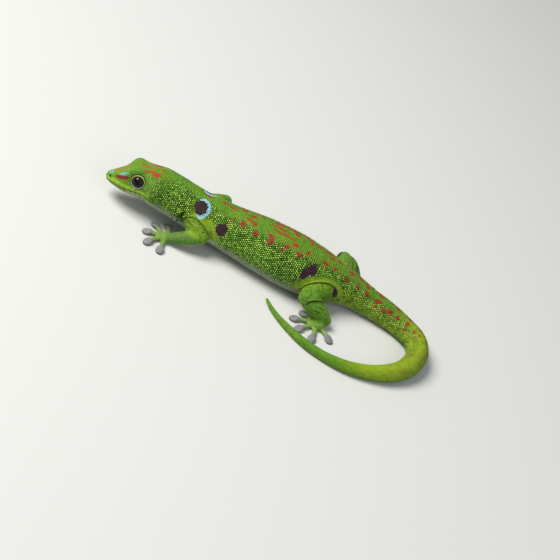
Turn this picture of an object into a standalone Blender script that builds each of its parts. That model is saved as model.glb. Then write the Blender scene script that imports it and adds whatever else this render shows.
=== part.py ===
"""A peacock day gecko, life size, lying on the floor with its tail curled forward along its left side.

Every size below is in millimetres, in the gecko's own frame: +X towards the rump, -Y towards its left
side, +Z up, and the origin on the floor under the middle of the belly. The last step brings the meshes
to metres. The trunk is one loft along a spine, parted into head, neck, torso and six lengths of tail,
and each limb is three tapered lengths that meet the trunk and each other face to face.
"""

import math

import bmesh
import bpy
import numpy as np
from mathutils import Matrix, Vector

METRES_PER_MM = 0.001
GAP = 0.3
CUT_DEPTH = 40.0
CUT_WIDTH = 400.0
SHARP_EDGE_DEG = 50

# The spine from snout to tail tip: x, y, z of each section's centre, then its half width,
# its reach up and its reach down from that centre.
SPINE = {
    "muzzle": (-36.95, -2.72, 3.62, 0.86, 0.80, 0.56),
    "nostrils": (-36.20, -2.55, 3.90, 1.56, 1.28, 1.16),
    "snout": (-35.40, -2.48, 4.22, 2.02, 1.62, 1.56),
    "loreal": (-33.45, -2.28, 4.95, 2.95, 2.40, 2.45),
    "eyes": (-31.10, -1.70, 5.60, 3.72, 3.08, 2.95),
    "temples": (-28.90, -1.14, 5.85, 4.38, 3.45, 3.32),
    "jaw": (-27.20, -0.98, 5.85, 4.65, 3.68, 3.50),
    "nape": (-24.50, -0.75, 5.60, 4.45, 3.72, 3.70),
    "neck": (-21.50, -0.80, 5.35, 4.28, 3.78, 3.72),
    "shoulders": (-17.40, -0.78, 5.05, 4.35, 3.86, 3.92),
    "chest": (-12.50, -0.35, 4.85, 4.62, 4.02, 4.15),
    "belly": (-5.00, 0.12, 4.80, 5.42, 4.72, 4.76),
    "waist": (0.50, 0.22, 4.76, 5.70, 4.90, 4.92),
    "loin": (5.00, 0.65, 4.52, 5.30, 4.68, 4.70),
    "hips": (10.20, 1.90, 3.80, 4.22, 3.90, 3.84),
    "vent": (14.40, 3.02, 3.00, 3.24, 3.06, 3.02),
    "tail_root": (17.60, 3.12, 2.60, 2.80, 2.68, 2.66),
    "tail_a": (21.60, 2.83, 2.36, 2.54, 2.48, 2.46),
    "tail_b": (25.95, 1.83, 2.14, 2.24, 2.24, 2.24),
    "tail_c": (29.30, -0.10, 2.08, 2.18, 2.18, 2.18),
    "tail_d": (30.60, -2.95, 2.04, 2.14, 2.14, 2.14),
    "tail_e": (30.45, -6.20, 1.96, 2.07, 2.06, 2.06),
    "tail_f": (28.90, -9.60, 1.73, 1.83, 1.82, 1.82),
    "tail_g": (26.30, -12.30, 1.52, 1.62, 1.60, 1.60),
    "tail_h": (22.90, -14.26, 1.28, 1.36, 1.35, 1.35),
    "tail_i": (18.90, -15.45, 1.08, 1.15, 1.14, 1.14),
    "tail_j": (14.40, -15.52, 0.88, 0.93, 0.93, 0.93),
    "tail_k": (10.40, -14.74, 0.80, 0.84, 0.84, 0.84),
    "tail_l": (6.80, -13.14, 0.66, 0.70, 0.70, 0.70),
    "tail_m": (3.95, -11.42, 0.51, 0.55, 0.54, 0.54),
    "tail_n": (1.95, -9.75, 0.42, 0.45, 0.45, 0.45),
    "tail_tip": (0.70, -8.15, 0.32, 0.31, 0.31, 0.31),
}
CROWN_SQUARENESS = 0.86
BELLY_SQUARENESS = 0.84
TAIL_TIP_ROUND = 0.35
MUZZLE_ROUND = 0.34

# Where the trunk is parted, in millimetres along the spine from the muzzle, and each node's rings.
HEAD_END = 12.6
NECK_END = 18.4
TORSO_END = 50.0
TAIL_ENDS = {
    "tail_root": 61.0,
    "tail_turn_outward": 69.5,
    "tail_turn": 77.5,
    "tail_turn_forward": 86.0,
    "tail_side": 98.5,
}
HEAD_SIDES = 36
HEAD_RING_STEP = 0.52
BODY_SIDES = 26
BODY_RING_STEP = 1.4
TAIL_SIDES = 16
TAIL_RING_STEP = 1.4

HEAD_ROLL_DEG = 12.0
HEAD_ROLL_FADE = (11.0, 26.0)

# The head's own features, by distance from the muzzle and by side and height from the section's centre.
EYE_AT = 6.30
EYE_SIDE = 2.86
EYE_HEIGHT = 0.95
EYE_RADIUS = 1.32
EYE_RIM_RADIUS = 1.50
EYE_RIM_THICKNESS = 0.27
EYE_RIM_OUT = 0.62
EYE_WAY = (0.93, 0.30, 0.20)
BROW_AT = 5.60
BROW_LENGTH = 1.45
BROW_HEIGHT = 1.12
BROW_ANGLE_DEG = 55.0
BROW_SPREAD_DEG = 18.0
NOSTRIL_AT = 1.10
NOSTRIL_ANGLE_DEG = 26.0
NOSTRIL_RADIUS = 0.30
EAR_AT = 10.9
EAR_ANGLE_DEG = 5.0
EAR_SIZE = (0.40, 0.50, 0.68)
MOUTH_CORNER_AT = 10.3
MOUTH_MIDDLE_AT = 4.0
MOUTH_START_DEG = -10.0
MOUTH_MIDDLE_DEG = -18.0
MOUTH_CORNER_DEG = -14.0
MOUTH_GROOVE = 0.22
MOUTH_DEPTH = 0.34
MOUTH_BLADE_REACH = 0.5
MOUTH_BLADE_TAPER = 0.6
MOUTH_CORNER_DEPTH = 0.15
MOUTH_DEPTH_RISE = 0.35
LIP_SWELL = 0.13
LIP_SPREAD_DEG = 11.0
LIP_ABOVE_DEG = 12.0
LIP_BELOW_DEG = -11.0
LOWER_LIP_SHARE = 0.7
LIP_END = 0.6
LIP_FADE = 1.5
LIP_START = 0.8
SNOUT_RIDGE = 0.16
SNOUT_RIDGE_DEG = 42.0
SNOUT_RIDGE_LENGTH = 1.8
SNOUT_SPREAD_DEG = 12.0
LOREAL_HOLLOW = 0.16
LOREAL_DEG = 17.0
LOREAL_AT = 3.4
LOREAL_LENGTH = 1.3
CHEEK = 0.20
CHEEK_AT = 9.2
CHEEK_LENGTH = 2.0
CHEEK_SPREAD_DEG = 24.0

# Limbs: each joint's x, y, z, then its half width and half height. The first joint is sunk in the trunk.
LEFT_ARM = {
    "shoulder": (-18.7, -3.3, 4.7, 2.05, 2.2),
    "elbow": (-15.6, -5.6, 3.5, 1.42, 1.55),
    "wrist": (-20.6, -7.2, 1.35, 1.02, 0.95),
    "palm": (-22.0, -7.15, 0.72, 1.35, 0.72),
}
LEFT_FINGERS = {
    "first": ((-21.3, -5.9), (-22.3, -3.3)),
    "second": ((-22.6, -6.3), (-24.5, -4.7)),
    "third": ((-23.0, -7.0), (-25.1, -7.6)),
    "fourth": ((-22.7, -7.9), (-23.9, -10.2)),
    "fifth": ((-21.5, -8.0), (-21.1, -10.7)),
}
RIGHT_ARM = {
    "shoulder": (-18.6, 1.9, 4.7, 2.05, 2.2),
    "elbow": (-15.5, 7.6, 4.0, 1.42, 1.55),
    "wrist": (-20.3, 8.1, 1.35, 1.02, 0.95),
    "palm": (-21.8, 7.9, 0.72, 1.35, 0.72),
}
RIGHT_FINGERS = {
    "first": ((-21.1, 6.7), (-22.0, 4.5)),
    "second": ((-22.3, 7.1), (-24.4, 5.8)),
    "third": ((-22.8, 7.8), (-25.3, 8.1)),
    "fourth": ((-22.5, 8.6), (-24.0, 10.6)),
    "fifth": ((-21.4, 8.8), (-20.9, 10.9)),
}
LEFT_LEG = {
    "hip": (10.0, -0.5, 4.2, 2.30, 2.45),
    "knee": (7.0, -6.3, 3.7, 1.62, 1.75),
    "ankle": (12.4, -6.9, 1.55, 1.18, 1.1),
    "sole": (11.2, -8.0, 0.74, 1.55, 0.74),
}
LEFT_TOES = {
    "first": ((10.0, -7.3), (8.1, -6.9)),
    "second": ((9.9, -8.1), (6.9, -9.4)),
    "third": ((10.3, -8.9), (8.5, -11.5)),
    "fourth": ((11.3, -9.2), (11.5, -12.3)),
    "fifth": ((12.3, -8.4), (14.4, -10.1)),
}
RIGHT_LEG = {
    "hip": (11.0, 3.4, 4.2, 2.30, 2.45),
    "knee": (10.1, 8.9, 4.5, 1.62, 1.75),
    "ankle": (14.4, 8.9, 1.55, 1.18, 1.1),
    "sole": (13.1, 8.6, 0.74, 1.55, 0.74),
}
RIGHT_TOES = {
    "first": ((12.2, 7.8), (10.5, 7.1)),
    "second": ((11.8, 8.6), (9.6, 8.7)),
    "third": ((12.2, 9.3), (10.4, 10.5)),
    "fourth": ((13.0, 9.6), (12.3, 11.4)),
    "fifth": ((14.1, 9.3), (15.2, 10.4)),
}
ARM_REACH = (8.0, 34.0)
LEG_REACH = (36.0, 60.0)
UPPER_BULGE = 0.10
FOREARM_BULGE = 0.14
CALF_BULGE = 0.34
LOWER_ROOT_SHARE = 0.95
PALM_ROOT_SHARES = (0.9, 0.8)
LIMB_SIDES = 12
LIMB_RINGS = 6
CAP_RINGS = 3
TOE_SIDES = 8
TOE_SHAFT = (0.47, 0.40)
TOE_ROOT = (0.60, 0.52)
TOE_ROOT_SUNK = 0.35
TOE_ARCH = 0.16
PAD_WIDTH = 0.86
PAD_HEIGHT = 0.42
PAD_LENGTH = 1.05
PAD_SHARES = (-0.75, -0.35, 0.1, 0.55, 0.88)
PAD_ROUNDNESS = 2.4
PAD_THINNING = 0.25
PAD_TIP_HEIGHT = 0.55
FLOOR_SINK = 0.06

SKIN_LOOK = ((0.13, 0.42, 0.03, 1.0), 0.5)
FOOT_LOOK = ((0.30, 0.52, 0.10, 1.0), 0.55)
EYE_LOOK = ((0.015, 0.010, 0.008, 1.0), 0.08)


def slopes_of(places, values):
    """The slope at each place for a smooth curve that never overshoots its values."""
    gaps = np.diff(places)[:, None]
    rise = np.diff(values, axis=0) / gaps
    slopes = np.zeros_like(values)
    before, after = rise[:-1], rise[1:]
    same_way = before * after > 0
    total = np.where(same_way, before + after, 1.0)
    slopes[1:-1] = np.where(same_way, 2 * before * after / total, 0.0)
    slopes[0], slopes[-1] = rise[0], rise[-1]
    return slopes


def smooth_slopes_of(places, values):
    """The slope at each place for a curve that flows through its points."""
    gaps = np.diff(places)[:, None]
    rise = np.diff(values, axis=0) / gaps
    slopes = np.zeros_like(values)
    slopes[1:-1] = (rise[:-1] * gaps[1:] + rise[1:] * gaps[:-1]) / (gaps[1:] + gaps[:-1])
    slopes[0], slopes[-1] = rise[0], rise[-1]
    return slopes


def between(places, values, slopes, wanted):
    """The cubic curve through the values, read at the wanted places."""
    wanted = np.clip(wanted, places[0], places[-1])
    i = np.clip(np.searchsorted(places, wanted) - 1, 0, len(places) - 2)
    gap = (places[i + 1] - places[i])[:, None]
    t = ((wanted - places[i]) / gap[:, 0])[:, None]
    return (
        values[i] * (2 * t**3 - 3 * t**2 + 1)
        + slopes[i] * gap * (t**3 - 2 * t**2 + t)
        + values[i + 1] * (3 * t**2 - 2 * t**3)
        + slopes[i + 1] * gap * (t**3 - t**2)
    )


def along_chords(points):
    steps = np.linalg.norm(np.diff(points, axis=0), axis=1)
    return np.concatenate([[0.0], np.cumsum(steps)])


SPINE_ROWS = np.array(list(SPINE.values()))
SPINE_PLACES = along_chords(SPINE_ROWS[:, :3])
SPINE_PATH_SLOPES = smooth_slopes_of(SPINE_PLACES, SPINE_ROWS[:, :3])
SPINE_SIZE_SLOPES = slopes_of(SPINE_PLACES, SPINE_ROWS[:, 3:])
SPINE_END = SPINE_PLACES[-1]


def spine_point(s):
    return between(SPINE_PLACES, SPINE_ROWS[:, :3], SPINE_PATH_SLOPES, s)


def spine_sizes(s):
    return between(SPINE_PLACES, SPINE_ROWS[:, 3:], SPINE_SIZE_SLOPES, s)


def spine_frame(s):
    """Centre, left, up and forward of the trunk's section at s, with the head rolled to its left."""
    step = 0.05
    forward = spine_point(s - step) - spine_point(s + step)
    forward /= np.linalg.norm(forward, axis=1)[:, None]
    left = np.cross(np.array([0.0, 0.0, 1.0]), forward)
    left /= np.linalg.norm(left, axis=1)[:, None]
    up = np.cross(forward, left)
    start, end = HEAD_ROLL_FADE
    share = np.clip((end - s) / (end - start), 0, 1)
    turn = np.radians(HEAD_ROLL_DEG) * (share * share * (3 - 2 * share))[:, None]
    rolled_left = left * np.cos(turn) + up * np.sin(turn)
    rolled_up = up * np.cos(turn) - left * np.sin(turn)
    return spine_point(s), rolled_left, rolled_up, forward


def bell(x, middle, spread):
    return np.exp(-(((x - middle) / spread) ** 2))


def mouth_angle(s):
    """The mouth line's angle from the section's side, in degrees: it dips, then rises to its corner."""
    dip = np.sin(np.clip(s / MOUTH_MIDDLE_AT, 0, 1) * math.pi / 2)
    lift = np.clip((s - MOUTH_MIDDLE_AT) / (MOUTH_CORNER_AT - MOUTH_MIDDLE_AT), 0, 1) ** 2
    fall = MOUTH_MIDDLE_DEG - MOUTH_START_DEG
    return MOUTH_START_DEG + fall * dip + (MOUTH_CORNER_DEG - MOUTH_MIDDLE_DEG) * lift


def head_relief(s, angle):
    """How far the head's own forms stand out of the plain section, the same on both sides."""
    degrees = np.degrees(angle)
    folded = np.where(np.abs(degrees) > 90, np.sign(degrees) * (180 - np.abs(degrees)), degrees)
    brow = BROW_HEIGHT * bell(s, BROW_AT, BROW_LENGTH) * bell(folded, BROW_ANGLE_DEG, BROW_SPREAD_DEG)
    ridge = SNOUT_RIDGE * bell(s, LOREAL_AT, SNOUT_RIDGE_LENGTH)
    ridge *= bell(folded, SNOUT_RIDGE_DEG, SNOUT_SPREAD_DEG)
    hollow = LOREAL_HOLLOW * bell(s, LOREAL_AT, LOREAL_LENGTH) * bell(folded, LOREAL_DEG, SNOUT_SPREAD_DEG)
    cheek = CHEEK * bell(s, CHEEK_AT, CHEEK_LENGTH) * bell(folded, 0, CHEEK_SPREAD_DEG)
    fade = np.clip((MOUTH_CORNER_AT + LIP_END - s) / LIP_FADE, 0, 1) * np.clip(s / LIP_START, 0, 1)
    above = folded - mouth_angle(s)
    upper_lip = bell(above, LIP_ABOVE_DEG, LIP_SPREAD_DEG)
    lower_lip = LOWER_LIP_SHARE * bell(above, LIP_BELOW_DEG, LIP_SPREAD_DEG)
    return brow + ridge - hollow + cheek + LIP_SWELL * fade * (upper_lip + lower_lip)


def trunk_surface(s, angle, grow=0.0):
    """Points of the trunk's skin at s. Angle 0 is its left side and a quarter turn its back."""
    s, angle = np.broadcast_arrays(np.asarray(s, float), np.asarray(angle, float))
    shape = s.shape
    s, angle = s.ravel(), angle.ravel()
    centre, left, up, _ = spine_frame(s)
    width, rise, drop = spine_sizes(s).T
    angle = (angle + math.pi) % (2 * math.pi) - math.pi
    power = np.where(np.sin(angle) >= 0, CROWN_SQUARENESS, BELLY_SQUARENESS)
    across = np.sign(np.cos(angle)) * np.abs(np.cos(angle)) ** power
    above = np.sign(np.sin(angle)) * np.abs(np.sin(angle)) ** power
    relief = head_relief(s, angle) + grow
    side = across * width + np.cos(angle) * relief
    height = above * np.where(above >= 0, rise, drop) + np.sin(angle) * relief
    points = centre + left * side[:, None] + up * height[:, None]
    return points.reshape(*shape, 3)


def ring_angles(sides):
    return np.arange(sides) * (2 * math.pi / sides) + math.pi / sides


def loft(name, rings, start_pole=None, end_pole=None):
    """A closed skin over a stack of rings, with each end closed by a pole or by a flat cap."""
    bm = bmesh.new()
    rows = [[bm.verts.new(p) for p in ring] for ring in rings]
    sides = len(rows[0])
    for a, b in zip(rows[:-1], rows[1:]):
        for i in range(sides):
            bm.faces.new((a[i], a[(i + 1) % sides], b[(i + 1) % sides], b[i]))
    for row, pole in ((rows[0], start_pole), (rows[-1], end_pole)):
        middle = pole if pole is not None else sum((v.co for v in row), Vector()) / sides
        tip = bm.verts.new(middle)
        for i in range(sides):
            bm.faces.new((row[i], row[(i + 1) % sides], tip))
    bmesh.ops.recalc_face_normals(bm, faces=bm.faces)
    bmesh.ops.triangulate(bm, faces=bm.faces)
    return finished(name, bm)


def finished(name, bm):
    mesh = bpy.data.meshes.new(name)
    bm.to_mesh(mesh)
    bm.free()
    obj = bpy.data.objects.new(name, mesh)
    GECKO.objects.link(obj)
    return obj


def trunk_length(name, start, end, step, sides, grow=0.0, start_pole=None, end_pole=None):
    """One parted length of the trunk, its ends square to the spine."""
    count = max(2, round((end - start) / step) + 1)
    places = np.linspace(start, end, count)
    rings = trunk_surface(places[:, None], ring_angles(sides)[None, :], grow)
    return loft(name, rings, start_pole, end_pole)


def trunk_mass(name, start, end, grow):
    """A plain closed length of the trunk, grown by a gap, to cut a limb's root to its face."""
    return trunk_length(name, start, end, BODY_RING_STEP, BODY_SIDES * 2, grow)


def applied(obj):
    """The object with its modifiers made part of its mesh."""
    graph = bpy.context.evaluated_depsgraph_get()
    mesh = bpy.data.meshes.new_from_object(obj.evaluated_get(graph))
    obj.modifiers.clear()
    obj.data = mesh
    return obj


def combine(obj, other, operation):
    change = obj.modifiers.new(operation.lower(), "BOOLEAN")
    change.operation = operation
    change.object = other
    change.solver = "EXACT"
    applied(obj)


def cut(obj, *cutters):
    """Takes each cutter's space out of the object, and removes the cutter."""
    for cutter in cutters:
        combine(obj, cutter, "DIFFERENCE")
        bpy.data.objects.remove(cutter)


def join(obj, *others):
    """Fuses the pieces into the object by one union on a collection, which is then removed."""
    group = bpy.data.collections.new("pieces")
    for other in others:
        group.objects.link(other)
    change = obj.modifiers.new("union", "BOOLEAN")
    change.operation = "UNION"
    change.operand_type = "COLLECTION"
    change.collection = group
    change.solver = "EXACT"
    applied(obj)
    for other in others:
        bpy.data.objects.remove(other)
    bpy.data.collections.remove(group)


def keep_largest(obj):
    """Keeps the largest closed surface of the mesh, so that no loose scrap of a cut stays."""
    bm = bmesh.new()
    bm.from_mesh(obj.data)
    bmesh.ops.remove_doubles(bm, verts=bm.verts, dist=1e-5)
    bmesh.ops.triangulate(bm, faces=bm.faces)
    seen, shells = set(), []
    for first in bm.faces:
        if first in seen:
            continue
        shell, queue = [], [first]
        seen.add(first)
        while queue:
            face = queue.pop()
            shell.append(face)
            for edge in face.edges:
                for other in edge.link_faces:
                    if other not in seen:
                        seen.add(other)
                        queue.append(other)
        shells.append(shell)
    shells.sort(key=lambda shell: sum(face.calc_area() for face in shell))
    loose = [face for shell in shells[:-1] for face in shell]
    bmesh.ops.delete(bm, geom=loose, context="FACES")
    bmesh.ops.delete(bm, geom=[v for v in bm.verts if not v.link_faces], context="VERTS")
    bm.to_mesh(obj.data)
    bm.free()


def floor_cutter():
    """A block under the floor, which trims what rests there to small flats at one level."""
    bpy.ops.mesh.primitive_cube_add(size=1, location=(0, 0, -CUT_DEPTH / 2))
    block = bpy.context.object
    block.name = "floor_cutter"
    block.scale = (CUT_WIDTH, CUT_WIDTH, CUT_DEPTH)
    bpy.ops.object.transform_apply(location=True, rotation=False, scale=True)
    return block


def ball(name, centre, radius, segments=20):
    bm = bmesh.new()
    bmesh.ops.create_uvsphere(bm, u_segments=segments, v_segments=segments // 2, radius=radius)
    bmesh.ops.translate(bm, verts=bm.verts, vec=Vector(centre))
    return finished(name, bm)


def unit(vector):
    return vector / np.linalg.norm(vector)


def limb_length(name, start, end, grow=0.0, bulge=0.0):
    """A tapered length of limb with round ends. Start and end hold x, y, z, half width and half height."""
    a, b = np.array(start[:3]), np.array(end[:3])
    forward = unit(b - a)
    side = unit(np.cross(np.array([0.0, 0.0, 1.0]), forward))
    up = np.cross(forward, side)
    angles = ring_angles(LIMB_SIDES)
    rings = []
    for cap in range(1, CAP_RINGS + 1):
        turn = cap / CAP_RINGS * math.pi / 2
        rings.append((-math.cos(turn) * (start[3] + grow), math.sin(turn), 0.0))
    for ring in range(1, LIMB_RINGS):
        rings.append((0.0, 1.0, ring / LIMB_RINGS))
    for cap in range(CAP_RINGS, 0, -1):
        turn = cap / CAP_RINGS * math.pi / 2
        rings.append((math.cos(turn) * (end[3] + grow), math.sin(turn), 1.0))
    points = []
    for beyond, share, t in rings:
        swell = 1 + bulge * math.sin(math.pi * t)
        width = ((start[3] * (1 - t) + end[3] * t) * swell + grow) * share
        height = ((start[4] * (1 - t) + end[4] * t) * swell + grow) * share
        centre = a + (b - a) * t + forward * beyond
        points.append([centre + side * math.cos(v) * width + up * math.sin(v) * height for v in angles])
    poles = a - forward * (start[3] + grow), b + forward * (end[3] + grow)
    return loft(name, points, Vector(poles[0]), Vector(poles[1]))


def toe(name, root, pad):
    """One digit: a slim arched shaft from the palm, then a round flat climbing pad."""
    root, pad = np.array(root), np.array(pad)
    run = pad - root
    length = np.linalg.norm(run)
    forward = np.append(run / length, 0.0)
    side = np.array([-forward[1], forward[0], 0.0])
    pad_start = length + PAD_LENGTH * PAD_SHARES[0]
    stations = [(-TOE_ROOT_SUNK, *TOE_ROOT), (0.45 * pad_start, *TOE_SHAFT)]
    for share in PAD_SHARES:
        spread = math.sqrt(1 - abs(share) ** PAD_ROUNDNESS)
        width = max(TOE_SHAFT[0], PAD_WIDTH * spread) if share < 0 else PAD_WIDTH * spread
        height = PAD_HEIGHT * (1 - PAD_THINNING * share) * (spread**0.5 if share > 0.5 else 1)
        stations.append((length + share * PAD_LENGTH, width, height))
    rings = []
    for place, width, height in stations:
        arch = TOE_ARCH * math.sin(math.pi * min(max(place / length, 0), 1))
        centre = np.array([*root, 0.0]) + forward * place
        centre[2] = height - FLOOR_SINK + arch
        rings.append(
            [
                centre + side * math.cos(v) * width + np.array([0, 0, math.sin(v) * height])
                for v in ring_angles(TOE_SIDES)
            ]
        )
    tip = np.array([*root, PAD_HEIGHT * PAD_TIP_HEIGHT]) + forward * (length + PAD_LENGTH)
    return loft(name, rings, None, Vector(tip))


def foot(name, joint, toes, ankle):
    """The palm or sole with its five digits fused to it, cut flat where it stands."""
    width, height = PALM_ROOT_SHARES
    body = limb_length(name, (*ankle[:3], ankle[3] * width, ankle[4] * height), joint)
    join(body, *(toe(f"{name}_{digit}", *ends) for digit, ends in toes.items()))
    cut(body, floor_cutter())
    return body


def limb(names, joints, toes, bulge, trunk_cutter):
    """Three parted lengths: the upper one is cut to the trunk, and each next one to the length before it."""
    root, bend, end, tip = joints.values()
    upper = limb_length(names[0], root, bend, bulge=UPPER_BULGE)
    cut(upper, trunk_cutter)
    slim_bend = (*bend[:3], bend[3] * LOWER_ROOT_SHARE, bend[4] * LOWER_ROOT_SHARE)
    lower = limb_length(names[1], slim_bend, end, bulge=bulge)
    cut(lower, limb_length("upper_cutter", root, bend, GAP, UPPER_BULGE))
    last = foot(names[2], tip, toes, end)
    cut(last, limb_length("lower_cutter", slim_bend, end, GAP, bulge))
    for piece in (upper, lower, last):
        keep_largest(piece)
    return upper, lower, last


def eye_frame(way):
    """The eye's centre and the direction it looks, on the left for way 1 and on the right for way -1."""
    centre, left, up, forward = (v[0] for v in spine_frame(np.array([EYE_AT])))
    place = centre + left * way * EYE_SIDE + up * EYE_HEIGHT
    side, above, ahead = EYE_WAY
    return place, unit(left * way * side + up * above + forward * ahead)


def eye_rim(name, way):
    """The raised ring of skin round an eye that has no lids."""
    place, look = eye_frame(way)
    bpy.ops.mesh.primitive_torus_add(
        major_segments=24, minor_segments=8, major_radius=EYE_RIM_RADIUS, minor_radius=EYE_RIM_THICKNESS
    )
    rim = bpy.context.object
    rim.name = name
    turn = Vector(look).to_track_quat("Z", "Y").to_matrix().to_4x4()
    rim.data.transform(Matrix.Translation(Vector(place + look * EYE_RIM_OUT)) @ turn)
    return rim


def mouth_line():
    """Points on the skin along the mouth, from its left corner round the snout to its right corner."""
    places = np.linspace(MOUTH_CORNER_AT, 0.1, 14)
    left_side = [trunk_surface(s, math.radians(mouth_angle(s))) for s in places]
    right_side = [trunk_surface(s, math.radians(180 - mouth_angle(s))) for s in places[::-1]]
    ahead = spine_frame(np.array([0.0]))[3][0]
    front = (left_side[-1] + right_side[0]) / 2 + ahead * MUZZLE_ROUND
    return np.array([*left_side, front, *right_side])


def mouth_blade():
    """A thin U-shaped blade that cuts the mouth line into the skin, shallow towards its corners."""
    line = mouth_line()
    ahead = np.gradient(line, axis=0)
    outward = np.cross(np.array([0.0, 0.0, 1.0]), ahead)
    outward /= np.linalg.norm(outward, axis=1)[:, None]
    if np.dot(outward[0], line[0] - line[-1]) < 0:
        outward = -outward
    half = np.array([0, 0, MOUTH_GROOVE / 2])
    middle = (len(line) - 1) / 2
    rows = []
    for i, (point, out) in enumerate(zip(line, outward)):
        depth = MOUTH_DEPTH * min(1, MOUTH_CORNER_DEPTH + (middle - abs(i - middle)) * MOUTH_DEPTH_RISE)
        outer, inner = point + out * MOUTH_BLADE_REACH, point - out * depth
        thin = half * MOUTH_BLADE_TAPER
        rows.append([outer - half, outer + half, inner + thin, inner - thin])
    return loft("mouth_blade", rows)


def pit(name, s, degrees, size, way):
    """An oval cutter centred on the head's skin, for a nostril or an ear."""
    angle = math.radians(degrees if way > 0 else 180 - degrees)
    place = trunk_surface(s, angle)
    bm = bmesh.new()
    bmesh.ops.create_uvsphere(bm, u_segments=12, v_segments=8, radius=1.0)
    bmesh.ops.scale(bm, verts=bm.verts, vec=Vector(size))
    bmesh.ops.translate(bm, verts=bm.verts, vec=Vector(place))
    return finished(name, bm)


def make_head():
    """The skull with brows, lips, mouth line, nostrils, ears and the rims and sockets of the eyes."""
    centre, _, _, forward = (v[0] for v in spine_frame(np.array([0.0])))
    tip = centre + forward * MUZZLE_ROUND
    end = HEAD_END - GAP / 2
    places = np.concatenate([[0.0, 0.2], np.linspace(0.5, end, round(end / HEAD_RING_STEP))])
    rings = trunk_surface(places[:, None], ring_angles(HEAD_SIDES)[None, :])
    head = loft("head", rings, Vector(tip))
    join(head, eye_rim("left_rim", 1), eye_rim("right_rim", -1))
    for way, side in ((1, "left"), (-1, "right")):
        place, _ = eye_frame(way)
        nostril = (NOSTRIL_RADIUS,) * 3
        cut(
            head,
            ball(f"{side}_socket", place, EYE_RADIUS + GAP),
            pit(f"{side}_nostril", NOSTRIL_AT, NOSTRIL_ANGLE_DEG, nostril, way),
            pit(f"{side}_ear", EAR_AT, EAR_ANGLE_DEG, EAR_SIZE, way),
        )
    cut(head, mouth_blade())
    keep_largest(head)
    return head


def make_eyes():
    sides = ((1, "left"), (-1, "right"))
    return [ball(f"eye_{side}", eye_frame(way)[0], EYE_RADIUS, 24) for way, side in sides]


def make_trunk():
    """Neck, torso and tail, each an own length of the same loft, trimmed flat where it lies on the floor."""
    half = GAP / 2
    pieces = [
        trunk_length("neck", HEAD_END + half, NECK_END - half, BODY_RING_STEP, BODY_SIDES),
        trunk_length("torso", NECK_END + half, TORSO_END - half, BODY_RING_STEP, BODY_SIDES),
    ]
    start = TORSO_END
    for name, end in TAIL_ENDS.items():
        pieces.append(trunk_length(name, start + half, end - half, TAIL_RING_STEP, TAIL_SIDES))
        start = end
    centre, _, _, forward = (v[0] for v in spine_frame(np.array([SPINE_END])))
    tip = Vector(centre - forward * TAIL_TIP_ROUND)
    last = trunk_length("tail_tip", start + half, SPINE_END, TAIL_RING_STEP, TAIL_SIDES, end_pole=tip)
    pieces.append(last)
    for piece in pieces[1:]:
        cut(piece, floor_cutter())
        keep_largest(piece)
    return pieces


def make_limbs():
    plans = (
        (("left_upper_arm", "left_forearm", "left_hand"), LEFT_ARM, LEFT_FINGERS, FOREARM_BULGE, ARM_REACH),
        (
            ("right_upper_arm", "right_forearm", "right_hand"),
            RIGHT_ARM,
            RIGHT_FINGERS,
            FOREARM_BULGE,
            ARM_REACH,
        ),
        (("left_thigh", "left_shin", "left_foot"), LEFT_LEG, LEFT_TOES, CALF_BULGE, LEG_REACH),
        (("right_thigh", "right_shin", "right_foot"), RIGHT_LEG, RIGHT_TOES, CALF_BULGE, LEG_REACH),
    )
    pieces = []
    for names, joints, toes, bulge, reach in plans:
        pieces += limb(names, joints, toes, bulge, trunk_mass("trunk_cutter", *reach, GAP))
    return pieces


def material(name, colour, roughness):
    made = bpy.data.materials.new(name)
    made.use_nodes = True
    shader = made.node_tree.nodes["Principled BSDF"]
    shader.inputs["Base Color"].default_value = colour
    shader.inputs["Roughness"].default_value = roughness
    shader.inputs["Metallic"].default_value = 0.0
    return made


def to_metres(obj):
    obj.data.transform(Matrix.Scale(METRES_PER_MM, 4))
    obj.data.shade_smooth()
    obj.data.set_sharp_from_angle(angle=math.radians(SHARP_EDGE_DEG))


for old in list(bpy.data.objects):
    bpy.data.objects.remove(old)
GECKO = bpy.data.collections.new("peacock_day_gecko")
bpy.context.scene.collection.children.link(GECKO)

head_piece = make_head()
eyes = make_eyes()
trunk = make_trunk()
limbs = make_limbs()

for piece in (head_piece, *trunk, *limbs, *eyes):
    to_metres(piece)
    look = FOOT_LOOK if piece.name.endswith(("hand", "foot")) else SKIN_LOOK
    if piece in eyes:
        look = EYE_LOOK
    piece.data.materials.append(material(f"{piece.name}_colour", *look))
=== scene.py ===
# %% [markdown]
# A peacock day gecko, still and life size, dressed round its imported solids. The real animal is a slim lizard
# of about eleven centimetres, lime green with brick-red marks on its back and plum-black eye spots on its
# flanks. The solids give the pose and the outline. Everything that makes it look alive, such as the one skin,
# thousands of bead-like scales, lips, eyes and climbing pads, is made here. The work is done in millimetres,
# because that is how one thinks about an animal of this size, and each finished mesh is brought to metres.

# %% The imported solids
import math

import bmesh
import bpy
import numpy as np
from mathutils import Matrix, Vector, noise
from mathutils.bvhtree import BVHTree
from mathutils.kdtree import KDTree


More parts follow.
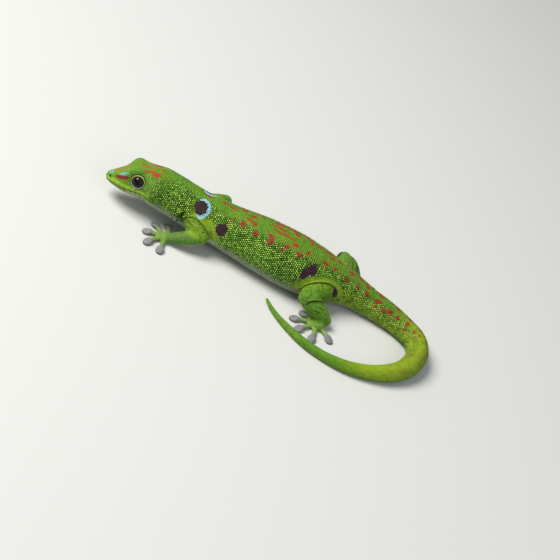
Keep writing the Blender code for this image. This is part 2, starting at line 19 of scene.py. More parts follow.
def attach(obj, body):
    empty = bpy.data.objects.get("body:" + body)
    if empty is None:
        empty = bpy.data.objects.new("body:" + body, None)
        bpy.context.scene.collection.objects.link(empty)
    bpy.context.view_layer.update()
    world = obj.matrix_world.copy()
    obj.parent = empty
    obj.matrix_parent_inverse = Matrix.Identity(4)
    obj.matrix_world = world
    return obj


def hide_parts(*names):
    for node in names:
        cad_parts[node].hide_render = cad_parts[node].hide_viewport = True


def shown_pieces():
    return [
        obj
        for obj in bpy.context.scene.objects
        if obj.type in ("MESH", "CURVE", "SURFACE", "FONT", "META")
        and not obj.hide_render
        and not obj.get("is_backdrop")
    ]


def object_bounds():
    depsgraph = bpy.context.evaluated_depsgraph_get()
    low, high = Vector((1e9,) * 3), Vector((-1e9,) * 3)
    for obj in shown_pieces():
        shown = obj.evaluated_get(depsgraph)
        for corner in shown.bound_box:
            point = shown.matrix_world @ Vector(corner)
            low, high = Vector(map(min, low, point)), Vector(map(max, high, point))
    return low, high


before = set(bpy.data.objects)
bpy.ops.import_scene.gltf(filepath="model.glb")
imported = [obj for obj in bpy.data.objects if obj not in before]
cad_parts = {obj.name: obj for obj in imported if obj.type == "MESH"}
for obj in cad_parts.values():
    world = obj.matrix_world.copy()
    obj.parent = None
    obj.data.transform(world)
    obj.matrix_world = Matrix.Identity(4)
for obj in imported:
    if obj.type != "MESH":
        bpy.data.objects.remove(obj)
cad_box = [list(corner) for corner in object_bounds()]
MM = 0.001
FLESH = [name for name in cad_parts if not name.startswith("eye_")]
print("flesh nodes:", len(FLESH), "CAD box in mm:", [[round(v / MM, 2) for v in c] for c in cad_box])

# %% [markdown]
# The camera stands where the photographer stood. The animal lies on a level floor here and not on a slanting
# stem, so the camera looks down at it and is rolled about its own axis, which keeps the body's slant in the
# picture. Its place is worked out from a viewing angle, a roll and the size of one pixel on the animal.

# %% Camera
IMAGE_SIZE = 560
LENS = 85.0
SENSOR = 36.0
CLIP = (0.01, 10.0)
LOOK_DOWN_DEG = 38.0
ROLL_DEG = 28.6
MM_PER_PIXEL = 0.19
MIDDLE_BODY = Vector((0.0, 0.0, 4.9))
MIDDLE_BODY_PIXEL = (285.6, 257.0)


def link_new(name, data):
    """A new object that shows the given mesh, lamp or camera, in the scene."""
    made = bpy.data.objects.new(name, data)
    bpy.context.scene.collection.objects.link(made)
    return made


def make_camera():
    """A level look along +Y turned down, then rolled, and set so that the middle of the body is at its pixel."""
    distance = LENS / SENSOR * IMAGE_SIZE * MM_PER_PIXEL
    down, roll = math.radians(LOOK_DOWN_DEG), math.radians(ROLL_DEG)
    ahead = Vector((0.0, math.cos(down), -math.sin(down)))
    level_right = Vector((1.0, 0.0, 0.0))
    level_up = Vector((0.0, math.sin(down), math.cos(down)))
    right = level_right * math.cos(roll) + level_up * math.sin(roll)
    up = level_up * math.cos(roll) - level_right * math.sin(roll)
    shift_right, shift_down = ((pixel - IMAGE_SIZE / 2) * MM_PER_PIXEL for pixel in MIDDLE_BODY_PIXEL)
    place = MIDDLE_BODY - right * shift_right + up * shift_down - ahead * distance
    data = bpy.data.cameras.new("camera")
    data.lens, data.sensor_width = LENS, SENSOR
    data.clip_start, data.clip_end = CLIP
    made = link_new("camera", data)
    turn = Matrix((right, up, -ahead)).transposed().to_4x4()
    made.matrix_world = Matrix.Translation(place * MM) @ turn
    bpy.context.scene.camera = made
    return made


camera = make_camera()
print("camera at mm", [round(v / MM, 1) for v in camera.location])

# %% [markdown]
# The stage is a pale floor under soft studio light. A large soft light above stands for the bright overcast
# sky of the forest edge, a weaker one fills the shadows, and a pale world keeps them open.

# %% Floor, lights and world
FLOOR_SIZE = 3.0
FLOOR_TINT = (0.62, 0.61, 0.58, 1.0)
FLOOR_ROUGHNESS = 0.85
WORLD_TINT = (0.80, 0.88, 1.0, 1.0)
WORLD_STRENGTH = 0.30
LIGHTS = {
    "sky_light": {"place": (-0.26, -0.05, 0.36), "size": 0.27, "watts": 2.6, "tint": (1.0, 0.99, 0.96)},
    "fill_light": {"place": (0.30, -0.28, 0.30), "size": 0.44, "watts": 0.6, "tint": (0.96, 0.98, 1.0)},
}


def mesh_of(name, points, faces):
    mesh = bpy.data.meshes.new(name)
    mesh.from_pydata(np.asarray(points).tolist(), [], [list(map(int, face)) for face in faces])
    return mesh


def new_material(name):
    """A material and its shader node."""
    made = bpy.data.materials.new(name)
    made.use_nodes = True
    return made, made.node_tree.nodes["Principled BSDF"]


def make_floor():
    corners = [(x * FLOOR_SIZE / 2, y * FLOOR_SIZE / 2, 0.0) for x, y in ((-1, -1), (1, -1), (1, 1), (-1, 1))]
    floor = link_new("studio_floor", mesh_of("studio_floor", corners, [(0, 1, 2, 3)]))
    made, shader = new_material("floor_paint")
    shader.inputs["Base Color"].default_value = FLOOR_TINT
    shader.inputs["Roughness"].default_value = FLOOR_ROUGHNESS
    floor.data.materials.append(made)
    floor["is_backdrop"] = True


def soft_light(name, place, size, watts, tint):
    data = bpy.data.lights.new(name, "AREA")
    data.shape, data.size, data.energy, data.color = "DISK", size, watts, tint
    lamp = link_new(name, data)
    lamp.location = place
    lamp.rotation_euler = (-Vector(place)).to_track_quat("-Z", "Y").to_euler()


def pale_world():
    world = bpy.data.worlds.new("pale_world")
    bpy.context.scene.world = world
    world.use_nodes = True
    backdrop = world.node_tree.nodes["Background"]
    backdrop.inputs["Color"].default_value = WORLD_TINT
    backdrop.inputs["Strength"].default_value = WORLD_STRENGTH


make_floor()
for name, settings in LIGHTS.items():
    soft_light(name, **settings)
pale_world()
bpy.context.scene.view_settings.view_transform = "Standard"

# %% [markdown]
# The trunk, from muzzle to tail tip, is one tube of changing section along a bent spine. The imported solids
# were lofted over the same sections, so the skin made from them lies exactly where the solids are. A short
# list of sections is enough, because a smooth curve is drawn through them: each holds the centre of the
# section, its half width, and how far it reaches up and down.

# %% The spine
SPINE = {
    "muzzle": (-36.95, -2.72, 3.62, 0.86, 0.80, 0.56),
    "nostrils": (-36.20, -2.55, 3.90, 1.56, 1.28, 1.16),
    "snout": (-35.40, -2.48, 4.22, 2.02, 1.62, 1.56),
    "loreal": (-33.45, -2.28, 4.95, 2.95, 2.40, 2.45),
    "eyes": (-31.10, -1.70, 5.60, 3.72, 3.08, 2.95),
    "temples": (-28.90, -1.14, 5.85, 4.38, 3.45, 3.32),
    "jaw": (-27.20, -0.98, 5.85, 4.65, 3.68, 3.50),
    "nape": (-24.50, -0.75, 5.60, 4.45, 3.72, 3.70),
    "neck": (-21.50, -0.80, 5.35, 4.28, 3.78, 3.72),
    "shoulders": (-17.40, -0.78, 5.05, 4.35, 3.86, 3.92),
    "chest": (-12.50, -0.35, 4.85, 4.62, 4.02, 4.15),
    "belly": (-5.00, 0.12, 4.80, 5.42, 4.72, 4.76),
    "waist": (0.50, 0.22, 4.76, 5.70, 4.90, 4.92),
    "loin": (5.00, 0.65, 4.52, 5.30, 4.68, 4.70),
    "hips": (10.20, 1.90, 3.80, 4.22, 3.90, 3.84),
    "vent": (14.40, 3.02, 3.00, 3.24, 3.06, 3.02),
    "tail_root": (17.60, 3.12, 2.60, 2.80, 2.68, 2.66),
    "tail_a": (21.60, 2.83, 2.36, 2.54, 2.48, 2.46),
    "tail_b": (25.95, 1.83, 2.14, 2.24, 2.24, 2.24),
    "tail_c": (29.30, -0.10, 2.08, 2.18, 2.18, 2.18),
    "tail_d": (30.60, -2.95, 2.04, 2.14, 2.14, 2.14),
    "tail_e": (30.45, -6.20, 1.96, 2.07, 2.06, 2.06),
    "tail_f": (28.90, -9.60, 1.73, 1.83, 1.82, 1.82),
    "tail_g": (26.30, -12.30, 1.52, 1.62, 1.60, 1.60),
    "tail_h": (22.90, -14.26, 1.28, 1.36, 1.35, 1.35),
    "tail_i": (18.90, -15.45, 1.08, 1.15, 1.14, 1.14),
    "tail_j": (14.40, -15.52, 0.88, 0.93, 0.93, 0.93),
    "tail_k": (10.40, -14.74, 0.80, 0.84, 0.84, 0.84),
    "tail_l": (6.80, -13.14, 0.66, 0.70, 0.70, 0.70),
    "tail_m": (3.95, -11.42, 0.51, 0.55, 0.54, 0.54),
    "tail_n": (1.95, -9.75, 0.42, 0.45, 0.45, 0.45),
    "tail_tip": (0.70, -8.15, 0.32, 0.31, 0.31, 0.31),
}
CROWN_SQUARENESS = 0.86
BELLY_SQUARENESS = 0.84
MUZZLE_ROUND = 0.34
TAIL_TIP_ROUND = 0.35
HEAD_ROLL_DEG = 12.0
HEAD_ROLL_FADE = (11.0, 26.0)
COAT_DEPTH = 0.07
FULL_TURN = 2 * math.pi


def along_chords(points):
    steps = np.linalg.norm(np.diff(points, axis=0), axis=1)
    return np.concatenate([[0.0], np.cumsum(steps)])


def flowing_slopes(places, values):
    """The slope at each place for a curve that flows through its points."""
    gaps = np.diff(places)[:, None]
    rise = np.diff(values, axis=0) / gaps
    slopes = np.zeros_like(values)
    slopes[1:-1] = (rise[:-1] * gaps[1:] + rise[1:] * gaps[:-1]) / (gaps[1:] + gaps[:-1])
    slopes[0], slopes[-1] = rise[0], rise[-1]
    return slopes


def steady_slopes(places, values):
    """The slope at each place for a smooth curve that never overshoots its values."""
    rise = np.diff(values, axis=0) / np.diff(places)[:, None]
    before, after = rise[:-1], rise[1:]
    same_way = before * after > 0
    total = np.where(same_way, before + after, 1.0)
    slopes = np.zeros_like(values)
    slopes[1:-1] = np.where(same_way, 2 * before * after / total, 0.0)
    slopes[0], slopes[-1] = rise[0], rise[-1]
    return slopes


def between(places, values, slopes, wanted):
    """The cubic curve through the values, read at the wanted places."""
    wanted = np.clip(wanted, places[0], places[-1])
    i = np.clip(np.searchsorted(places, wanted) - 1, 0, len(places) - 2)
    gap = (places[i + 1] - places[i])[:, None]
    t = ((wanted - places[i]) / gap[:, 0])[:, None]
    return (
        values[i] * (2 * t**3 - 3 * t**2 + 1)
        + slopes[i] * gap * (t**3 - 2 * t**2 + t)
        + values[i + 1] * (3 * t**2 - 2 * t**3)
        + slopes[i + 1] * gap * (t**3 - t**2)
    )


SPINE_ROWS = np.array(list(SPINE.values()))
SPINE_PLACES = along_chords(SPINE_ROWS[:, :3])
SPINE_PATH_SLOPES = flowing_slopes(SPINE_PLACES, SPINE_ROWS[:, :3])
SPINE_SIZE_SLOPES = steady_slopes(SPINE_PLACES, SPINE_ROWS[:, 3:])
SPINE_END = SPINE_PLACES[-1]


def spine_point(s):
    return between(SPINE_PLACES, SPINE_ROWS[:, :3], SPINE_PATH_SLOPES, s)


def spine_sizes(s):
    return between(SPINE_PLACES, SPINE_ROWS[:, 3:], SPINE_SIZE_SLOPES, s)


def ease(x, start, end):
    """A smooth step from 0 at start to 1 at end."""
    t = np.clip((x - start) / (end - start), 0, 1)
    return t * t * (3 - 2 * t)


def spine_frame(s):
    """Centre, left, up and forward at s, with the head rolled to its left."""
    step = 0.05
    forward = spine_point(s - step) - spine_point(s + step)
    forward /= np.linalg.norm(forward, axis=1)[:, None]
    left = np.cross(np.array([0.0, 0.0, 1.0]), forward)
    left /= np.linalg.norm(left, axis=1)[:, None]
    up = np.cross(forward, left)
    turn = np.radians(HEAD_ROLL_DEG) * (1 - ease(s, *HEAD_ROLL_FADE))[:, None]
    rolled_left = left * np.cos(turn) + up * np.sin(turn)
    rolled_up = up * np.cos(turn) - left * np.sin(turn)
    return spine_point(s), rolled_left, rolled_up, forward


print("spine length in mm:", round(SPINE_END, 1))

# %% [markdown]
# The skull shows through the head's skin: brows over the eyes, a ridge along the snout, a hollow before each
# eye and a full cheek. Each is a soft swelling at a place along the spine and an angle round the section, so
# one formula gives them on both sides.

# %% The head's forms
EYE_AT = 6.30
EYE_SIDE = 2.86
EYE_HEIGHT = 0.95
EYE_RADIUS = 1.32
EYE_LOOK = (0.93, 0.30, 0.20)
SWELLINGS = {
    "brow": (1.12, 5.60, 1.45, 55.0, 18.0),
    "ridge of the snout": (0.16, 3.4, 1.8, 42.0, 12.0),
    "hollow before the eye": (-0.16, 3.4, 1.3, 17.0, 12.0),
    "cheek": (0.20, 9.2, 2.0, 0.0, 24.0),
}
MOUTH_CORNER_AT = 10.3
MOUTH_MIDDLE_AT = 4.0
MOUTH_START_DEG = -10.0
MOUTH_MIDDLE_DEG = -18.0
MOUTH_CORNER_DEG = -14.0
LIP_SWELL = 0.13
LIP_SPREAD_DEG = 11.0
UPPER_LIP_DEG = 12
LOWER_LIP_DEG = -11
LOWER_LIP_SHARE = 0.7


def bell(x, middle, spread):
    return np.exp(-(((x - middle) / spread) ** 2))


def fold_degrees(degrees):
    """The same angle seen from the animal's left side, so that left and right share one formula."""
    return np.where(np.abs(degrees) > 90, np.sign(degrees) * (180 - np.abs(degrees)), degrees)


def mouth_angle(s):
    dip = np.sin(np.clip(s / MOUTH_MIDDLE_AT, 0, 1) * math.pi / 2)
    lift = np.clip((s - MOUTH_MIDDLE_AT) / (MOUTH_CORNER_AT - MOUTH_MIDDLE_AT), 0, 1) ** 2
    fall = MOUTH_MIDDLE_DEG - MOUTH_START_DEG
    return MOUTH_START_DEG + fall * dip + (MOUTH_CORNER_DEG - MOUTH_MIDDLE_DEG) * lift


def head_relief(s, angle):
    """How far the head stands out at places: swellings, each with its middle along and round it, and the lips."""
    folded = fold_degrees(np.degrees(angle))
    swollen = sum(
        height * bell(s, at, length) * bell(folded, degrees, spread)
        for height, at, length, degrees, spread in SWELLINGS.values()
    )
    lip_fade = np.clip((MOUTH_CORNER_AT + 0.6 - s) / 1.5, 0, 1) * np.clip(s / 0.8, 0, 1)
    above = folded - mouth_angle(s)
    upper, lower = (bell(above, degrees, LIP_SPREAD_DEG) for degrees in (UPPER_LIP_DEG, LOWER_LIP_DEG))
    return swollen + LIP_SWELL * lip_fade * (upper + LOWER_LIP_SHARE * lower)


def trunk_surface(s, angle):
    """Points of the trunk's skin. Angle 0 is the animal's left side and a quarter turn is its back."""
    s, angle = np.broadcast_arrays(np.asarray(s, float), np.asarray(angle, float))
    shape = s.shape
    s, angle = s.ravel(), angle.ravel()
    centre, left, up, _ = spine_frame(s)
    width, rise, drop = spine_sizes(s).T
    angle = (angle + math.pi) % FULL_TURN - math.pi
    power = np.where(np.sin(angle) >= 0, CROWN_SQUARENESS, BELLY_SQUARENESS)
    across = np.sign(np.cos(angle)) * np.abs(np.cos(angle)) ** power
    above = np.sign(np.sin(angle)) * np.abs(np.sin(angle)) ** power
    relief = head_relief(s, angle) - COAT_DEPTH
    side = across * width + np.cos(angle) * relief
    height = above * np.where(above >= 0, rise, drop) + np.sin(angle) * relief
    points = centre + left * side[:, None] + up * height[:, None]
    return points.reshape(*shape, 3)


def eye_frame(way):
    """The eye's centre and the way it looks, on the left for way 1 and on the right for way -1."""
    centre, left, up, forward = (v[0] for v in spine_frame(np.array([EYE_AT])))
    look = left * way * EYE_LOOK[0] + up * EYE_LOOK[1] + forward * EYE_LOOK[2]
    return centre + left * way * EYE_SIDE + up * EYE_HEIGHT, look / np.linalg.norm(look)


print("left eye at mm", eye_frame(1)[0].round(2))

# %% [markdown]
# A limb is a chain of tapered lengths with round ends, fattest where its muscles are. Each joint holds its
# place and its half width and half height. The same formula gives the surface, for building and for laying
# scales, and says how far any point lies outside it, which tells later on which part of the body a point is.

# %% Limbs
ARM_SIZES = ((2.05, 2.2), (1.42, 1.55), (1.02, 0.95), (1.35, 0.72))
LEG_SIZES = ((2.30, 2.45), (1.62, 1.75), (1.18, 1.1), (1.55, 0.74))
LIMBS = {
    "left_arm": (ARM_SIZES, (-18.7, -3.3, 4.7), (-15.6, -5.6, 3.5), (-20.6, -7.2, 1.35), (-22.0, -7.15, 0.72)),
    "right_arm": (ARM_SIZES, (-18.6, 1.9, 4.7), (-15.5, 7.6, 4.0), (-20.3, 8.1, 1.35), (-21.8, 7.9, 0.72)),
    "left_leg": (LEG_SIZES, (10.0, -0.5, 4.2), (7.0, -6.3, 3.7), (12.4, -6.9, 1.55), (11.2, -8.0, 0.74)),
    "right_leg": (LEG_SIZES, (11.0, 3.4, 4.2), (10.1, 8.9, 4.5), (14.4, 8.9, 1.55), (13.1, 8.6, 0.74)),
}
UPPER_BULGE = 0.10
LOWER_BULGE = {"arm": 0.14, "leg": 0.34}
LOWER_SLIMMER = 0.95


class Form:
    """What lengths of limb and digits share: a line, and an outline that changes along it."""

    def surface(self, x, angle):
        x, angle = np.broadcast_arrays(np.asarray(x, float), np.asarray(angle, float))
        width, height, share, middle = self.outline(x)
        across = (np.cos(angle) * width * share)[..., None]
        above = (middle + np.sin(angle) * height * share)[..., None]
        return self.start + self.forward * x[..., None] + self.side * across + self.up * above

    def poles(self):
        for x in (self.first, self.last):
            yield self.start + self.forward * x + self.up * float(self.outline(np.array(x))[3])


class Length(Form):
    """One tapered length of limb, in its own axes, with round ends."""

    def __init__(self, name, limb, kind, start, end, bulge):
        self.name, self.limb, self.kind, self.bulge = name, limb, kind, bulge
        self.start, self.end = np.array(start[:3]), np.array(end[:3])
        self.sizes = np.array([start[3:], end[3:]]) - COAT_DEPTH
        self.run = np.linalg.norm(self.end - self.start)
        self.forward = (self.end - self.start) / self.run
        side = np.cross(np.array([0.0, 0.0, 1.0]), self.forward)
        self.side = side / np.linalg.norm(side)
        self.up = np.cross(self.forward, self.side)
        self.first = -self.sizes[0, 0]
        self.last = self.run + self.sizes[1, 0]
        self.girth = FULL_TURN * self.sizes.mean()

    def section(self, x):
        """Half width and half height at x, before the round ends close in, and how closed they are."""
        t = np.clip(x / self.run, 0, 1)
        swell = 1 + self.bulge * np.sin(math.pi * t)
        width = (self.sizes[0, 0] * (1 - t) + self.sizes[1, 0] * t) * swell
        height = (self.sizes[0, 1] * (1 - t) + self.sizes[1, 1] * t) * swell
        beyond = x - np.clip(x, 0, self.run)
        reach = np.where(x < 0, self.sizes[0, 0], self.sizes[1, 0])
        return width, height, beyond / reach

    def outline(self, x):
        width, height, beyond = self.section(x)
        return width, height, np.sqrt(np.clip(1 - beyond**2, 0, 1)), 0.0

    def places(self, count=30):
        """Places along it, closer together where the round ends turn."""
        turn = np.linspace(0.12, math.pi / 2, 8)
        first = self.sizes[0, 0] * -np.cos(turn)
        last = self.run + self.sizes[1, 0] * np.cos(turn[::-1])
        return np.concatenate([first, np.linspace(0, self.run, count)[1:-1], last])

    def read(self, points):
        """Where points are along and round it, and about how far outside it they lie."""
        offset = points - self.start
        x, y, z = offset @ self.forward, offset @ self.side, offset @ self.up
        width, height, beyond = self.section(x)
        ratio = np.sqrt((y / width) ** 2 + (z / height) ** 2 + beyond**2)
        return x, np.arctan2(z / height, y / width), (ratio - 1) * np.minimum(width, height)


def limb_lengths():
    made = []
    for limb, (sizes, *joints) in LIMBS.items():
        root, bend, end, tip = ((*place, *size) for place, size in zip(joints, sizes))
        slim_bend = (*bend[:3], bend[3] * LOWER_SLIMMER, bend[4] * LOWER_SLIMMER)
        slim_end = (*end[:3], end[3] * 0.9, end[4] * 0.8)
        made.append(Length(f"{limb}_upper", limb, "upper", root, bend, UPPER_BULGE))
        made.append(Length(f"{limb}_lower", limb, "lower", slim_bend, end, LOWER_BULGE[limb[-3:]]))
        made.append(Length(f"{limb}_palm", limb, "palm", slim_end, tip, 0.0))
    return made


LENGTHS = limb_lengths()
print("limb lengths:", {one.name: round(float(one.run), 1) for one in LENGTHS})

# %% [markdown]
# A day gecko's digit is a slim shaft that ends in a round, flat climbing pad. It has no claw to speak of. A
# digit lies on the floor, so its section is set from the floor up, and one formula swells the shaft into the
# pad. Each digit is given by where it leaves the palm and where the middle of its pad is.

# %% Digits
DIGITS = {
    "left_arm": (
        ((-21.3, -5.9), (-22.3, -3.3)),
        ((-22.6, -6.3), (-24.5, -4.7)),
        ((-23.0, -7.0), (-25.1, -7.6)),
        ((-22.7, -7.9), (-23.9, -10.2)),
        ((-21.5, -8.0), (-21.1, -10.7)),
    ),
    "right_arm": (
        ((-21.1, 6.7), (-22.0, 4.5)),
        ((-22.3, 7.1), (-24.4, 5.8)),
        ((-22.8, 7.8), (-25.3, 8.1)),
        ((-22.5, 8.6), (-24.0, 10.6)),
        ((-21.4, 8.8), (-20.9, 10.9)),
    ),
    "left_leg": (
        ((10.0, -7.3), (8.1, -6.9)),
        ((9.9, -8.1), (6.9, -9.4)),
        ((10.3, -8.9), (8.5, -11.5)),
        ((11.3, -9.2), (11.5, -12.3)),
        ((12.3, -8.4), (14.4, -10.1)),
    ),
    "right_leg": (
        ((12.2, 7.8), (10.5, 7.1)),
        ((11.8, 8.6), (9.6, 8.7)),
        ((12.2, 9.3), (10.4, 10.5)),
        ((13.0, 9.6), (12.3, 11.4)),
        ((14.1, 9.3), (15.2, 10.4)),
    ),
}
SHAFT_HALF_WIDTH = 0.47
SHAFT_HALF_HEIGHT = 0.40
SHAFT_ROOT = 0.60
PAD_HALF_WIDTH = 0.86
PAD_HALF_HEIGHT = 0.42
PAD_LENGTH = 1.05
DIGIT_ARCH = 0.16
FLOOR_SINK = 0.06
DIGIT_COAT = 0.04
DIGIT_SUNK = 0.35
DIGIT_MAP_RADIUS = 0.62


class Digit(Form):
    """One toe or finger on the floor, with the same questions answered as for a length of limb."""

    kind = "digit"

    def __init__(self, name, limb, root, pad):
        self.name, self.limb = name, limb
        root, pad = np.array(root), np.array(pad)
        self.run = np.linalg.norm(pad - root)
        flat = (pad - root) / self.run
        self.start = np.array([*root, 0.0])
        self.forward = np.array([*flat, 0.0])
        self.side = np.array([-flat[1], flat[0], 0.0])
        self.up = np.array([0.0, 0.0, 1.0])
        self.first, self.last = -DIGIT_SUNK, self.run + PAD_LENGTH - DIGIT_COAT
        self.girth = FULL_TURN * DIGIT_MAP_RADIUS

    def section(self, x):
        """Half width, half height and height of the middle above the floor."""
        share = (x - self.run) / (PAD_LENGTH - DIGIT_COAT)
        round_out = np.sqrt(np.clip(1 - np.abs(share) ** 2.4, 0, 1))
        near_root = 1 - ease(x, self.first, 0.45 * self.run)
        shaft = SHAFT_HALF_WIDTH + (SHAFT_ROOT - SHAFT_HALF_WIDTH) * near_root
        pad = PAD_HALF_WIDTH * round_out
        width = np.where(share < 0, np.maximum(shaft, pad), pad) - DIGIT_COAT
        flatten = 1 - 0.25 * np.clip(share, -1, 1)
        pad_height = PAD_HALF_HEIGHT * flatten * np.where(share > 0.4, np.sqrt(round_out), 1)
        on_pad = ease(share, -1.0, -0.6)
        height = SHAFT_HALF_HEIGHT * (1 - on_pad) + pad_height * on_pad - DIGIT_COAT
        arch = DIGIT_ARCH * np.sin(math.pi * np.clip(x / self.run, 0, 1))
        return np.maximum(width, 0.03), np.maximum(height, 0.03), height - FLOOR_SINK + arch + DIGIT_COAT

    def outline(self, x):
        width, height, middle = self.section(x)
        return width, height, 1.0, middle

    def places(self, count=16):
        shaft = np.linspace(self.first, self.run - PAD_LENGTH * 0.8, count)
        turn = np.linspace(0.8, 0.12, 14) * math.pi
        pad = self.run + (PAD_LENGTH - DIGIT_COAT) * np.cos(turn)
        return np.concatenate([shaft, pad[pad > shaft[-1] + 0.05]])

    def read(self, points):
        offset = points - self.start
        x, y = offset @ self.forward, offset @ self.side
        inside = np.clip(x, self.first, self.last)
        width, height, middle = self.section(inside)
        z = offset[:, 2] - middle
        ratio = np.sqrt((y / width) ** 2 + (z / height) ** 2)
        beside = (ratio - 1) * np.minimum(width, height)
        outside = np.hypot(np.maximum(beside, 0), x - inside) + np.minimum(beside, 0)
        return x, np.arctan2(z / height, y / width), outside


LENGTHS += [
    Digit(f"{limb}_digit_{i}", limb, *ends) for limb, digits in DIGITS.items() for i, ends in enumerate(digits, 1)
]
print("forms beside the trunk:", len(LENGTHS))

# %% [markdown]
# The skin is one closed surface over all these forms, so that no seam shows where the solids are parted. The
# forms overlap, and a voxel remesh fuses overlapping shells into one even skin. It could also be done by
# Boolean unions, but the remesh leaves faces of one size, which take the folds and smoothing that follow.

# %% Mesh helpers
def read_array(items, key, width, kind=np.float32):
    """One property of all vertices, normals or edges, with a row for each."""
    flat = np.empty(len(items) * width, kind)
    items.foreach_get(key, flat)
    return flat.reshape(-1, width)


def read_points(mesh):
    return read_array(mesh.vertices, "co", 3).astype(float)


def read_normals(mesh):
    return read_array(mesh.vertex_normals, "vector", 3).astype(float)


def write_points(mesh, points):
    mesh.vertices.foreach_set("co", np.asarray(points, np.float32).ravel())
    mesh.update()


def count_triangles(obj):
    return sum(len(face.vertices) - 2 for face in obj.data.polygons)


def mesh_tree(mesh):
    """What finds the nearest place on a mesh."""
    return BVHTree.FromPolygons(read_points(mesh).tolist(), [tuple(face.vertices) for face in mesh.polygons])


def settled(obj):
    """Makes the object's modifiers part of its mesh."""
    graph = bpy.context.evaluated_depsgraph_get()
    mesh = bpy.data.meshes.new_from_object(obj.evaluated_get(graph))
    obj.modifiers.clear()
    obj.data = mesh
    return obj


def near_to(points, place, reach):
    """Which points lie within reach of a place."""
    return np.flatnonzero(np.linalg.norm(points - place, axis=1) < reach)


def unit(vectors):
    """The same ways with length 1."""
    return vectors / np.linalg.norm(vectors, axis=-1, keepdims=True)


def numbered(rings, offset=0):
    """A number for each point of rings in rows, its neighbour's number, and the quads between the rows."""
    rows, sides, _ = rings.shape
    number = offset + np.arange(rows * sides).reshape(rows, sides)
    along = np.roll(number, -1, axis=1)
    quads = np.stack([number[:-1], along[:-1], along[1:], number[1:]], axis=-1).reshape(-1, 4)
    return number, along, quads


def shell(rings, poles, offset):
    """Points and faces of a closed tube over rings, with a pole at each end. Offset counts points before it."""
    number, along, quads = numbered(rings, offset)
    first = offset + number.size
    fans = [(a, first, b) for a, b in zip(number[0], along[0])]
    fans += [(b, first + 1, a) for a, b in zip(number[-1], along[-1])]
    return np.concatenate([rings.reshape(-1, 3), poles]), [*quads, *fans]


# %% The trunk's fine surface
TRUNK_STEPS = ((0.0, 12.0, 0.16), (12.0, SPINE_END, 0.30))
TRUNK_SIDES = 96
RING = (np.arange(TRUNK_SIDES) + 0.5) * FULL_TURN / TRUNK_SIDES


def trunk_places():
    parts = [np.arange(start, end, step) for start, end, step in TRUNK_STEPS]
    return np.concatenate([*parts, [SPINE_END - 0.02]])


def trunk_poles():
    first, last = spine_frame(np.array([0.0])), spine_frame(np.array([SPINE_END]))
    muzzle = first[0][0] + first[3][0] * (MUZZLE_ROUND - COAT_DEPTH)
    tip = last[0][0] - last[3][0] * (TAIL_TIP_ROUND - COAT_DEPTH)
    return np.array([muzzle, tip])


TRUNK_AT = trunk_places()
TRUNK_GRID = trunk_surface(TRUNK_AT[:, None], RING[None, :])
print("trunk grid:", TRUNK_GRID.shape)

# %% Fusing the forms
VOXEL = 0.195
FORM_SIDES = 40


def fused_forms():
    points, faces = shell(TRUNK_GRID, trunk_poles(), 0)
    all_points, all_faces = [points], [*faces]
    count = len(points)
    angles = (np.arange(FORM_SIDES) + 0.5) * FULL_TURN / FORM_SIDES
    for form in LENGTHS:
        rings = form.surface(form.places()[:, None], angles[None, :])
        points, faces = shell(rings, np.array(list(form.poles())), count)
        all_points.append(points)
        all_faces += faces
        count += len(points)
    fused = link_new("skin", mesh_of("skin", np.concatenate(all_points), all_faces))
    remesh = fused.modifiers.new("one skin", "REMESH")
    remesh.mode = "VOXEL"
    remesh.voxel_size = VOXEL
    return settled(fused)


skin = fused_forms()
print("fused skin:", len(skin.data.vertices), "points,", len(skin.data.polygons), "faces")

# %% [markdown]
# Every later step asks where a point is on the body: how far along the spine and at which angle, or on which
# limb. The nearest face of the trunk's grid answers the first, and the limbs' own formulas the second.
# Markings, folds and the size of the scales are all written in these body coordinates.

# %% Body coordinates
TRUNK_TREE = BVHTree.FromPolygons(TRUNK_GRID.reshape(-1, 3).tolist(), numbered(TRUNK_GRID)[2].tolist())
ARM_ROOT = ((19.6, 2.0), (20.6, -6.0))
ARMPIT = ((21.6, 18.0), (22.6, 8.0), (23.2, -6.0), (23.6, -20.0))
GROIN = ((41.8, -8.0), (42.8, 12.0), (44.4, 25.0), (46.2, 28.0), (48.0, 20.0), (48.9, 6.0))
SMOOTH_ZONES = ((ARM_ROOT, 1.6, 2.7), (ARMPIT, 0.6, 1.5), (GROIN, 0.6, 1.7))
FAR_AWAY = 9.0
FORM_MARGIN = 3.0


def distance_to_path(points, path):
    """Each point's distance to a line of straight pieces, and how far along the line its nearest place is."""
    best = np.full(len(points), 1e9)
    place = np.zeros(len(points))
    walked = along_chords(path)
    for i, (a, b) in enumerate(zip(path[:-1], path[1:])):
        run = b - a
        t = np.clip((points - a) @ run / (run @ run), 0, 1)
        away = np.linalg.norm(points - a - t[:, None] * run, axis=1)
        nearer = away < best
        best[nearer] = away[nearer]
        place[nearer] = walked[i] + t[nearer] * (walked[i + 1] - walked[i])
    return best, place


def on_both_sides(path):
    """A path of places and angles on the trunk, as points on the left side and again on the right."""
    for turned in (path, [(s, 180 - degrees) for s, degrees in path]):
        yield np.array([trunk_surface(s, math.radians(degrees)) for s, degrees in turned])


def smooth_zones(points, s):
    """1 where the skin is yellow, supple and finely grained: round the root of each arm and in the groin."""
    zone = np.zeros(len(points))
    for path, near, far in SMOOTH_ZONES:
        for line in on_both_sides(path):
            zone = np.maximum(zone, 1 - ease(distance_to_path(points, line)[0], near, far))
    return zone * ease(s, 14.0, 15.0)


